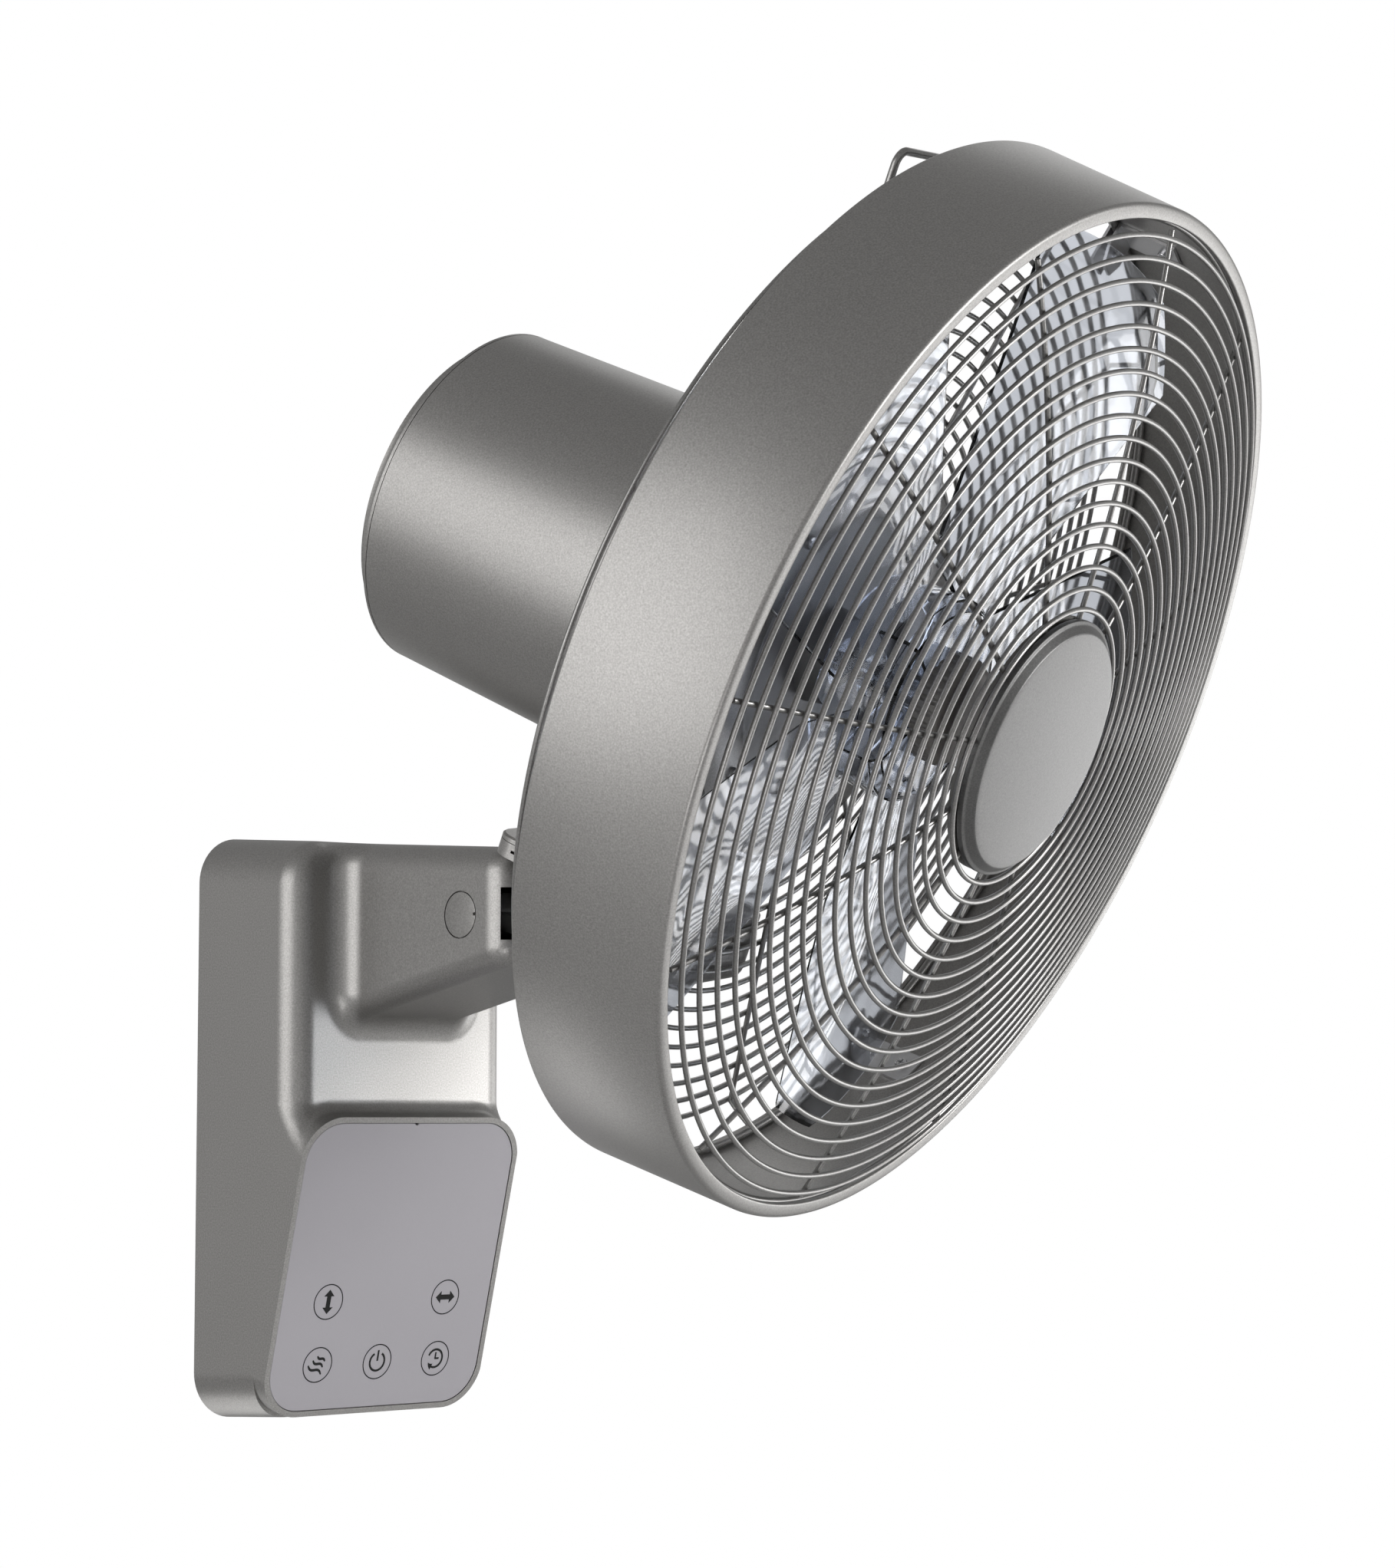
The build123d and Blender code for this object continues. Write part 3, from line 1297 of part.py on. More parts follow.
with BuildPart() as driver_board:
    with BuildSketch(fan_level(driver_face)):
        Circle(driver_circle + 2 * stud_radius)
        with PolarLocations(driver_circle, 3, start_angle=90):
            Circle(screw_m3_radius + screw_fit, mode=Mode.SUBTRACT)
    extrude(amount=-board_thickness)
    with BuildSketch(fan_level(driver_face - board_thickness)):
        with Locations(driver_chip_place):
            Rectangle(*driver_chip)
        with Locations(driver_filter_place):
            Rectangle(*driver_filter)
        with Locations(driver_capacitor_place):
            Circle(driver_capacitor_radius)
    extrude(amount=-driver_part_height)
driver_board.part.label = "driver_board"

with BuildPart() as driver_screws:
    for angle in (90, 210, 330):
        spot = fan_level(driver_face - board_thickness, angle).from_local_coords(Vector(driver_circle, 0, 0))
        with Locations(Plane(origin=spot, x_dir=fan_right, z_dir=fan_forward * -1)):
            add(m3_screw)
driver_screws.part.label = "driver_screws"

# ---------------------------------------------------------------- drum

drum_slope = (drum_radius_rear - drum_radius_front) / (drum_front - drum_rear)


def drum_radius(forward):
    """Outer radius of the drum's band at a place along the fan axis."""
    return drum_radius_rear - (forward - drum_rear) * drum_slope


bead_inner = drum_radius_rear - drum_wall - bead_step

with BuildPart() as drum_band:
    with BuildSketch(fan_section):
        with BuildLine():
            Polyline(
                (bead_inner, drum_rear),
                (drum_radius_rear - edge_break, drum_rear),
                (drum_radius_rear, drum_rear + edge_break),
                (drum_radius(drum_front - lip_round), drum_front - lip_round),
            )
            RadiusArc((drum_radius(drum_front - lip_round), drum_front - lip_round),
                      (drum_radius_front - lip_round, drum_front), lip_round)
            Polyline(
                (drum_radius_front - lip_round, drum_front), (lip_radius + edge_break, drum_front),
                (lip_radius, drum_front - edge_break), (lip_radius, drum_front - lip_thickness),
                (drum_radius(drum_front - lip_thickness) - drum_wall, drum_front - lip_thickness),
                (drum_radius(drum_rear + bead_depth) - drum_wall, drum_rear + bead_depth),
                (bead_inner, drum_rear + bead_depth - bead_step),
                (bead_inner, drum_rear),
            )
        make_face()
    revolve(axis=fan_line)

# ---------------------------------------------------------------- grilles

dome_sphere = (dome_rim ** 2 + dome_height ** 2) / (2 * dome_height)
dome_centre = drum_front + dome_height - dome_sphere


def dome_at(radius):
    """Place of the front grille's dome along the fan axis."""
    return dome_centre + sqrt(dome_sphere ** 2 - radius ** 2)


def wire_spoke(angle, points, bends, radius):
    """Round wire in the plane through the fan axis at an angle, along (radius, forward) points."""
    outward = fan_level(0, angle).x_dir
    flat = Plane(origin=fan_centre, x_dir=outward, z_dir=outward.cross(fan_forward))
    with BuildPart() as wire:
        with BuildLine(flat) as path:
            if bends:
                FilletPolyline(*points, radius=bends)
            else:
                Polyline(*points)
        with BuildSketch(Plane(origin=path.line @ 0, z_dir=path.line % 0)):
            Circle(radius)
        sweep()
    return wire.part


spoke_angles = [spoke_start + 360 * k / spoke_count for k in range(spoke_count)]
spoke_drop = 2 * wire_radius + weld_gap
cap_plate_radius = ring_first - ring_pitch / 2
cap_plate_at = dome_at(cap_plate_radius) - spoke_drop - wire_radius - seat_gap
cap_foot = dome_at(cap_plate_radius) - spoke_drop + wire_radius + seat_gap
border_forward = drum_front - lip_thickness - border_radius - seat_gap
border_place = lip_radius + border_radius - border_show
spoke_sphere = dome_sphere - spoke_drop

with BuildPart() as front_rings:
    with BuildSketch(fan_section):
        for k in range(ring_count):
            radius = ring_first + k * ring_pitch
            with Locations((radius, dome_at(radius))):
                Circle(wire_radius)
        with Locations((border_place, border_forward)):
            Circle(border_radius)
    revolve(axis=fan_line)


def dome_spoke(angle):
    """Spoke of the front grille: an arc that follows the dome just behind the rings."""
    outward = fan_level(0, angle).x_dir
    across = outward.cross(fan_forward)
    centre = fan_centre + fan_forward * dome_centre
    begin = asin((cap_plate_radius - 2 * wire_radius) / spoke_sphere)
    end = asin((border_place - border_radius - wire_radius - weld_gap) / spoke_sphere)
    start = centre + outward * spoke_sphere * sin(begin) + fan_forward * spoke_sphere * cos(begin)
    with BuildPart() as spoke:
        with BuildSketch(Plane(origin=start, x_dir=across, z_dir=outward * cos(begin) - fan_forward * sin(begin))):
            Circle(wire_radius)
        revolve(axis=Axis(origin=centre, direction=across * -1), revolution_arc=degrees(end - begin))
    return spoke.part


front_grille = Compound(label="front_grille", children=[front_rings.part] + [dome_spoke(a) for a in spoke_angles])

with BuildPart() as grille_hub:
    add(turned((
        (0, cap_plate_at - plate_thickness), (cap_plate_radius, cap_plate_at - plate_thickness),
        (cap_plate_radius, cap_plate_at), (0, cap_plate_at),
    )))
    with BuildSketch(fan_level(cap_plate_at)):
        with PolarLocations(cap_clip_circle, 3):
            Circle(cap_clip_radius)
    extrude(amount=-2 * plate_thickness, mode=Mode.SUBTRACT)
grille_hub.part.label = "grille_hub"


cap_sphere = (cap_face_radius ** 2 + cap_crown ** 2) / (2 * cap_crown)
cap_centre = cap_rim + cap_crown - cap_sphere


def cap_dome_at(radius, depth):
    """Place of the centre cap's crowned face along the fan axis, `depth` below its surface."""
    return cap_centre + sqrt((cap_sphere - depth) ** 2 - radius ** 2)


with BuildPart() as centre_cap:
    half_way = cap_face_radius / 2
    inner_rim = cap_face_radius - cap_skin
    with BuildSketch(fan_section):
        with BuildLine():
            ThreePointArc((0, cap_dome_at(0, 0)), (half_way, cap_dome_at(half_way, 0)), (cap_face_radius, cap_rim))
            Polyline(
                (cap_face_radius, cap_rim), (cap_ring_radius - 1.5, cap_foot + 2.6), (cap_ring_radius, cap_foot + 2.2),
                (cap_ring_radius, cap_foot), (cap_ring_radius - cap_skin, cap_foot),
                (inner_rim, cap_dome_at(inner_rim, cap_skin)),
            )
            ThreePointArc(
                (inner_rim, cap_dome_at(inner_rim, cap_skin)),
                (half_way, cap_dome_at(half_way, cap_skin)),
                (0, cap_dome_at(0, cap_skin)),
            )
            Line((0, cap_dome_at(0, cap_skin)), (0, cap_dome_at(0, 0)))
        make_face()
    revolve(axis=fan_line)
    with BuildSketch(fan_level(cap_plate_at - 2 * plate_thickness)):
        with PolarLocations(cap_clip_circle, 3):
            Circle(cap_clip_radius - seam)
    extrude(amount=cap_rim - cap_skin / 4 - cap_plate_at + 2 * plate_thickness)
centre_cap.part.label = "centre_cap"

rear_border_forward = drum_rear + bead_depth + border_radius
rear_border = drum_radius(rear_border_forward) - drum_wall - border_radius - seam
rear_ring_count = int((rear_border - rear_ring_margin - rear_ring_first) / rear_ring_pitch) + 1
rear_last = rear_ring_first + (rear_ring_count - 1) * rear_ring_pitch


def dish_at(radius):
    """Place of the rear grille's rings along the fan axis."""
    share = (radius - rear_ring_first) / (rear_last - rear_ring_first)
    return rear_dish_inner + share * (rear_dish_outer - rear_dish_inner)


with BuildPart() as rear_rings:
    with BuildSketch(fan_section):
        for k in range(rear_ring_count):
            radius = rear_ring_first + k * rear_ring_pitch
            with Locations((radius, dish_at(radius))):
                Circle(wire_radius)
        with Locations((rear_border, rear_border_forward)):
            Circle(border_radius)
    revolve(axis=fan_line)

# sheet ring that is screwed to the motor's front plate
with BuildPart() as rear_flange:
    with BuildSketch(fan_level(tube_front + seat_gap)):
        Circle(rear_flange_radius)
        Circle(rear_flange_inner - 3, mode=Mode.SUBTRACT)
        with PolarLocations(boss_circle, 4, start_angle=flange_screw_angle):
            Circle(screw_m3_radius + screw_fit, mode=Mode.SUBTRACT)
    extrude(amount=flange_thickness)

rear_spokes = [
    wire_spoke(
        angle + 180 / spoke_count,
        (
            (rear_flange_radius + weld_gap, dish_at(rear_flange_radius) + spoke_drop),
            (rear_border - 2 * border_radius, dish_at(rear_border) + spoke_drop),
            (rear_border - border_radius - wire_radius - weld_gap, rear_border_forward),
        ),
        spoke_bend, wire_radius,
    )
    for angle in spoke_angles
]
rear_grille = Compound(label="rear_grille", children=[rear_rings.part, rear_flange.part] + rear_spokes)

with BuildPart() as rear_flange_screws:
    for k in range(4):
        outward = fan_level(0, flange_screw_angle + 90 * k).x_dir
        spot = fan_centre + outward * boss_circle + fan_forward * (tube_front + seat_gap + flange_thickness)
        with Locations(Plane(origin=spot, x_dir=fan_right, z_dir=fan_forward)):
            add(m3_screw)
rear_flange_screws.part.label = "rear_flange_screws"

# wire bail on the back of the rear grille
bail_ring = rear_last - bail_ring_back * rear_ring_pitch
bail_foot = sqrt(bail_ring ** 2 - bail_half ** 2)
bail_top = bail_foot + bail_rise
bail_start = dish_at(bail_ring) - wire_radius - weld_gap

with BuildPart() as rear_bail:
    corners = (
        (-bail_half, bail_foot, bail_start), (-bail_half, bail_foot, bail_back), (-bail_half, bail_top, bail_back),
        (bail_half, bail_top, bail_back), (bail_half, bail_foot, bail_back), (bail_half, bail_foot, bail_start),
    )
    with BuildLine() as bail_path:
        FilletPolyline(
            *[fan_centre + fan_right * x + neck_up * y + fan_forward * z for x, y, z in corners], radius=bail_bend
        )
    with BuildSketch(Plane(origin=bail_path.line @ 0, z_dir=bail_path.line % 0)):
        Circle(border_radius)
    sweep()
rear_bail.part.label = "rear_bail"

# steel brackets: one leg is screwed to the band, the foot clamps the rear grille's border wire on a small clip
bracket_seat = drum_radius(bracket_front) - drum_wall - seam
bracket_back = rear_border_forward + border_radius + seat_gap
bracket_long = bracket_front - bracket_back
bracket_edge = bracket_seat + bracket_long * drum_slope - bracket_thickness / 2
clip_front = rear_border_forward - border_radius - seat_gap
clip_edge = bead_inner - seam
clip_width = bracket_width - 2 * clip_inset
drum_lean = degrees(atan2(drum_slope, 1))


def bracket_wall(angle, lift):
    """Plane on a bracket's leg (across, backward), `lift` outside the leg's outer face."""
    outward = fan_level(0, angle).x_dir
    facing = outward * cos(radians(drum_lean)) + fan_forward * sin(radians(drum_lean))
    origin = fan_centre + outward * bracket_seat + fan_forward * bracket_front + facing * lift
    return Plane(origin=origin, x_dir=outward.cross(fan_forward), z_dir=facing)


def bracket_foot_plane(angle, forward):
    """Plane across the fan axis at a bracket (across, outward)."""
    outward = fan_level(0, angle).x_dir
    return Plane(origin=fan_centre + fan_forward * forward, x_dir=outward.cross(fan_forward), z_dir=fan_forward)


with BuildPart() as band_brackets:
    for angle in bracket_angles:
        with BuildSketch(bracket_wall(angle, -bracket_thickness)):
            with Locations((0, bracket_long / 2)):
                Rectangle(bracket_width, bracket_long)
            with Locations((0, bracket_front - bracket_screw_front)):
                Circle(screw_m3_radius + screw_fit, mode=Mode.SUBTRACT)
        extrude(amount=bracket_thickness)
        with BuildSketch(bracket_foot_plane(angle, bracket_back)):
            with BuildLine():
                Polyline(
                    (-bracket_width / 2, bracket_edge), (bracket_width / 2, bracket_edge),
                    (bracket_width / 2, bracket_edge - bracket_foot * 0.6),
                    (bracket_width / 4, bracket_edge - bracket_foot),
                    (-bracket_width / 4, bracket_edge - bracket_foot),
                    (-bracket_width / 2, bracket_edge - bracket_foot * 0.6),
                    close=True,
                )
            make_face()
            with Locations((0, bracket_edge - bracket_screw_in)):
                Circle(screw_m3_radius + screw_fit, mode=Mode.SUBTRACT)
        extrude(amount=bracket_thickness)
band_brackets.part.label = "band_brackets"

with BuildPart() as grille_clips:
    for angle in bracket_angles:
        with BuildSketch(bracket_foot_plane(angle, clip_front)):
            with Locations((0, clip_edge - bracket_foot / 2)):
                Rectangle(clip_width, bracket_foot)
            with Locations((0, bracket_edge - bracket_screw_in)):
                Circle(screw_m3_radius + seat_gap / 2, mode=Mode.SUBTRACT)
        extrude(amount=-bracket_thickness)
grille_clips.part.label = "grille_clips"

with BuildPart() as band_screws:
    for angle in bracket_angles:
        wall = bracket_wall(angle, -bracket_thickness)
        leg_spot = wall.from_local_coords(Vector(0, bracket_front - bracket_screw_front, 0))
        with Locations(Plane(origin=leg_spot, x_dir=wall.x_dir, z_dir=wall.z_dir * -1)):
            add(band_screw)
        foot = bracket_foot_plane(angle, bracket_back + bracket_thickness)
        foot_spot = foot.from_local_coords(Vector(0, bracket_edge - bracket_screw_in, 0))
        with Locations(Plane(origin=foot_spot, x_dir=foot.x_dir, z_dir=foot.z_dir)):
            add(foot_screw)
band_screws.part.label = "band_screws"

with BuildPart() as drilled_band:
    add(drum_band.part)
    for angle in bracket_angles:
        with BuildSketch(bracket_wall(angle, 0)):
            with Locations((0, bracket_front - bracket_screw_front)):
                Circle(screw_m3_radius + seat_gap / 2)
        extrude(amount=seam + band_screw_grip + screw_fit, mode=Mode.SUBTRACT)
drilled_band.part.label = "drum_band"

# ---------------------------------------------------------------- fan

def blade_section(radius):
    """Chord and pitch of the blade at a radius."""
    share = (radius - blade_root) / (blade_tip - blade_root)
    chord = blade_chord_root + share * (blade_chord_tip - blade_chord_root)
    pitch = blade_pitch_root + share * (blade_pitch_tip - blade_pitch_root)
    return chord, pitch


with BuildPart() as blade_sheet:
    for k in range(blade_sections):
        radius = blade_root + (blade_tip + 6 - blade_root) * k / (blade_sections - 1)
        chord, pitch = blade_section(radius)
        lift = blade_camber * chord
        plane = Plane(origin=fan_centre + fan_right * radius + fan_forward * blade_middle, x_dir=neck_up,
                      z_dir=fan_right).rotated((0, 0, 90 - pitch))
        with BuildSketch(plane):
            with BuildLine():
                ThreePointArc((-chord / 2, 0), (0, lift), (chord / 2, 0))
                Line((chord / 2, 0), (chord / 2, -blade_skin))
                ThreePointArc((chord / 2, -blade_skin), (0, lift - blade_skin), (-chord / 2, -blade_skin))
                Line((-chord / 2, -blade_skin), (-chord / 2, 0))
            make_face()
    loft()

# the petal outline that trims the sheet, seen along the fan axis
with BuildPart() as blade_petal:
    with BuildSketch(fan_level(hub_back - hub_radius)):
        with BuildLine():
            reach = 2 * blade_tip
            Polyline(
                (0, 0),
                (reach * cos(radians(blade_trail)), -reach * sin(radians(blade_trail))),
                (reach * cos(radians(blade_lead)), reach * sin(radians(blade_lead))),
                close=True,
            )
        make_face()
        Circle(blade_tip, mode=Mode.INTERSECT)
        Circle(hub_radius - hub_skin / 2, mode=Mode.SUBTRACT)
    extrude(amount=2 * hub_front)
    tips = blade_petal.edges().filter_by(
        lambda e: abs(e.tangent_at(0.5).dot(fan_forward)) > 0.99
        and (e.center() - fan_centre - fan_forward * (e.center() - fan_centre).dot(fan_forward)).length
        > blade_tip - 1
    )
    fillet(tips, blade_corner)

with BuildPart() as blade:
    add(blade_sheet.part)
    add(blade_petal.part, mode=Mode.INTERSECT)

with BuildPart() as blade_hub:
    add(turned((
        (shaft_radius + running_fit, hub_back), (hub_boss_radius, hub_back),
        (hub_boss_radius, hub_front - hub_skin), (hub_radius - hub_skin - 3, hub_front - hub_skin),
        (hub_radius - hub_skin, hub_front - hub_skin - 3), (hub_radius - hub_skin, hub_back),
        (hub_radius, hub_back), (hub_radius, hub_front - 4), (hub_radius - 4, hub_front),
        (shaft_radius + running_fit, hub_front),
    )))
    for k in range(blade_count):
        with BuildSketch(fan_level(hub_front - hub_skin, 360 * k / blade_count)):
            with Locations(((hub_boss_radius + hub_radius - hub_skin) / 2, 0)):
                Rectangle(hub_radius - hub_skin - hub_boss_radius + 1, hub_skin / 1.5)
        extrude(amount=-(hub_front - hub_back) / 2)
    with BuildSketch(Plane(origin=fan_centre + fan_forward * drive_pin_place - fan_right * (hub_boss_radius + 1),
                           x_dir=neck_up, z_dir=fan_right)):
        Circle(drive_pin_radius + seat_gap)
        with Locations((0, -(drive_pin_place - hub_back) / 2)):
            Rectangle(2 * drive_pin_radius + 2 * seat_gap, drive_pin_place - hub_back + seam)
    extrude(amount=2 * hub_boss_radius + 2, mode=Mode.SUBTRACT)

with BuildPart() as blade_set:
    add(blade_hub.part)
    for k in range(blade_count):
        add(blade.part.rotate(fan_line, 360 * k / blade_count))
blade_set.part.label = "blade_set"

with BuildPart() as spinner_nut:
    add(turned((
        (shaft_radius + running_fit, nut_back), (nut_radius, nut_back), (nut_radius, nut_front - 6),
        (nut_radius - 3, nut_front - 2), (nut_radius / 2, nut_front), (0, nut_front),
        (0, shaft_front + seam), (shaft_radius + running_fit, shaft_front + seam),
    )))
    with BuildSketch(fan_level(nut_back)):
        with PolarLocations(nut_radius + 0.4, nut_flutes):
            Circle(1.4)
    extrude(amount=nut_front - nut_back - 4, mode=Mode.SUBTRACT)
spinner_nut.part.label = "spinner_nut"

# ---------------------------------------------------------------- export

pieces = (
    wall_plate, cable_grommet, base_housing, housing_screws, control_panel, control_board, power_board, board_screws,
    tilt_pin, pivot_caps, tilt_knuckle, pivot_washers, tilt_motor, tilt_motor_screws, tilt_pinion,
    swing_washer, swing_bush, swing_gear, swing_circlip, neck_block, neck_cover, neck_column, neck_screws,
    swing_motor, swing_motor_screws, swing_pinion, motor_housing, column_screws, motor_rear_cap,
    motor_front_plate, motor_plate_screws, motor_rear_bell, bell_screws, stator_core, stator_coils, rotor,
    motor_bearings, motor_shaft, driver_board, driver_screws, drilled_band, grille_hub, centre_cap,
    rear_flange_screws, rear_bail, band_brackets, grille_clips, band_screws, blade_set, spinner_nut,
)
os.makedirs("parts", exist_ok=True)
for piece in pieces:
    export_step(piece.part, "parts/" + piece.part.label + ".step")
for wires in (front_grille, rear_grille):
    export_step(wires, "parts/" + wires.label + ".step")
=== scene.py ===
"""Wall mounted fan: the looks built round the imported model, laid out as an add-on and run as a script."""

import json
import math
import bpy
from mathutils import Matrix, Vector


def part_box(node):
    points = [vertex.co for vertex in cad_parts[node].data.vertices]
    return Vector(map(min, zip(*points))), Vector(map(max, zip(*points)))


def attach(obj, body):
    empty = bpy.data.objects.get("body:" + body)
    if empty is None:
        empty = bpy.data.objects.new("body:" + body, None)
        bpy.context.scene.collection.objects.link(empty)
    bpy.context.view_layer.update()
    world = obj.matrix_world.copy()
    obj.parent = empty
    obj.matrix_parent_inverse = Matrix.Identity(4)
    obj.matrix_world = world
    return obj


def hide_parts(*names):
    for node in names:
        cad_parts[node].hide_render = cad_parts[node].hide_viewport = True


bl_info = {
    "name": "Wall Mounted Fan",
    "version": (1, 0, 0),
    "blender": (4, 5, 0),
    "location": "View3D > Sidebar > Wall Fan",
    "description": "Satin painted bracket, motor housing and drum, wire grilles, clear blades and a touch panel",
    "category": "Object",
}

import bmesh
import bpy
import numpy as np
from mathutils import Vector

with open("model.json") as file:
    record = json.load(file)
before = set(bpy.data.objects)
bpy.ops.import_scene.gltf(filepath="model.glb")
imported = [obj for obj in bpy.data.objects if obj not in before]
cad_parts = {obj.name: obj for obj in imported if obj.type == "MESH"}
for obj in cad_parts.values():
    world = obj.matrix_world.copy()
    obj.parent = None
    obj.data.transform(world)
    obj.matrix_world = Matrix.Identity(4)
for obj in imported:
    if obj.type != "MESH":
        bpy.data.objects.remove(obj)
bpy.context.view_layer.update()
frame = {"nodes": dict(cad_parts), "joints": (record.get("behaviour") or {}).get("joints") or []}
NODES = frame["nodes"]
JOINTS = {joint["name"]: joint for joint in frame["joints"]}
MM = 0.001


def unit(vector):
    """The vector at length one; in an array, each row by itself."""
    vector = np.asarray(vector, float)
    return vector / np.linalg.norm(vector, axis=-1, keepdims=True)


# axes of the fan's head at rest: the joints carry them, so nothing is fitted by eye
FORWARD = unit(JOINTS["fan_spin"]["axis"])
SWING_AXIS = np.array(JOINTS["swing"]["axis"], float)
UP = unit(SWING_AXIS - FORWARD * (SWING_AXIS @ FORWARD))
RIGHT = np.cross(UP, FORWARD)
CENTRE = np.array(JOINTS["fan_spin"]["pos_m"], float)


# ---------------- fixed sizes, in millimetres unless named otherwise

TOUCH = 0.1                 # gap between pieces of wire and sheet that end at each other
LIP_THICKNESS = 2.5         # the drum's flat front lip
BEAD_DEPTH = 3.0            # the bead at the drum's rear edge, along the fan axis
BEAD_STEP = 1.2             # how far the bead stands in
BORDER_SHOW = 1.0           # how much of the front border wire shows inside the lip
FRONT_WELD, REAR_WELD = 0.15, 0.1   # how far a spoke is pressed into the rings of its grille

CAP_SKIN = 2.0              # wall of the centre cap
CAP_SEAT = 0.25             # how far its foot stands before the back of the wires round it
CAP_POST_CIRCLE = 34.0      # radius on which its three posts stand
CAP_POST_RADIUS = 3.0
CAP_POST_DEPTH = 5.85       # how far they reach behind its foot
CAP_POST_SINK = 0.5         # how far behind the edge of its face they end

DISH_PLACE = 46.6           # the rear grille's innermost ring along the fan axis
DISH_DEPTH = 3.9            # how far its outermost ring lies before that
REAR_GAP = 0.3              # between the rear border wire and the drum
FLANGE_INNER, FLANGE_OUTER = 58.0, 84.0     # radii of the rear grille's sheet flange
FLANGE_BACK, FLANGE_FRONT = 48.1, 49.3      # its faces along the fan axis
BEND_START, BEND_RUN = 9.0, 7.0     # a rear spoke's bend: how far within the edge it starts, and its length

COVER_GAP = 0.3             # between a pivot cover and its seat
COVER_DEPTH = 1.5
COVER_ROUNDING = 0.2
NOTCH_DEPTH = 1.4           # the notch in a pivot cover's rim
NOTCH_HALF = 4.15           # degrees from its middle to its side
NOTCH_SLANT = 0.05          # degrees by which its sides lean

# the touch panel's face, from the middle of its top edge to the middle of its foot
PANEL_TOP = np.array((0.0, -76.5, 3.0))
PANEL_FOOT = np.array((0.0, -44.5, -123.3))
PANEL_ACROSS = np.array((1.0, 0.0, 0.0))
PANEL_DOWN = unit(PANEL_FOOT - PANEL_TOP)
PANEL_OUT = np.cross(PANEL_DOWN, PANEL_ACROSS)

# touch symbols: how far each stands right of the panel's middle, and its height
SYMBOL_PLACES = {"tilt": (-32.5, -74.8), "swing": (32.5, -74.8), "wind": (-32.7, -101.5), "power": (0.0, -101.5),
                 "timer": (32.7, -101.5)}
PRINT_HEIGHT = 0.03         # how far the ink stands above the panel's face
INK_THICKNESS = 0.05
RING_STROKE = 0.52          # width of the ring round each symbol
SIGN_RADIUS = 4.0           # the arcs of the power and the timer sign
SIGN_STROKE = 1.0
BAR_STROKE = 0.95           # the power sign's upright bar
HAND_STROKE = 0.85          # the timer sign's two hands
STROKE_POINT = 0.05         # width that a stroke narrows to where it ends in a point
# the wind sign's three waves: their ends, to the right of and below the sign's middle
WAVES = (((-5.0, 0.1), (2.5, 4.3)), ((-2.8, -2.1), (2.9, 1.2)), ((-0.6, -3.9), (3.6, -1.4)))

# steps round a turned piece, steps round a corner's arc, and sides of a wire
DRUM_STEPS, FRONT_STEPS, REAR_STEPS, FLANGE_STEPS = 360, 240, 216, 144
ARC_STEPS = 5
FRONT_SIDES, FRONT_BORDER_SIDES, REAR_SIDES, REAR_BORDER_SIDES, POST_SIDES = 10, 12, 8, 10, 24

# a direction that no wire runs along, from which a tube's sides are counted
TUBE_SIDE = 0.62 * RIGHT + 0.55 * FORWARD - 0.56 * UP


# ---------------- sizes and colours in the sidebar

def size_property(name, description, default, **limits):
    """Size of a piece, in millimetres."""
    return bpy.props.FloatProperty(name=name, description=description, default=default, **limits)


def count_property(name, description, default, low, high):
    """How many of a piece there are."""
    return bpy.props.IntProperty(name=name, description=description, default=default, min=low, max=high)


def colour_property(name, description, default):
    """Colour of a finish, as linear red, green and blue."""
    return bpy.props.FloatVectorProperty(
        name=name, description=description, default=default, size=3, min=0.0, max=1.0, subtype="COLOR")


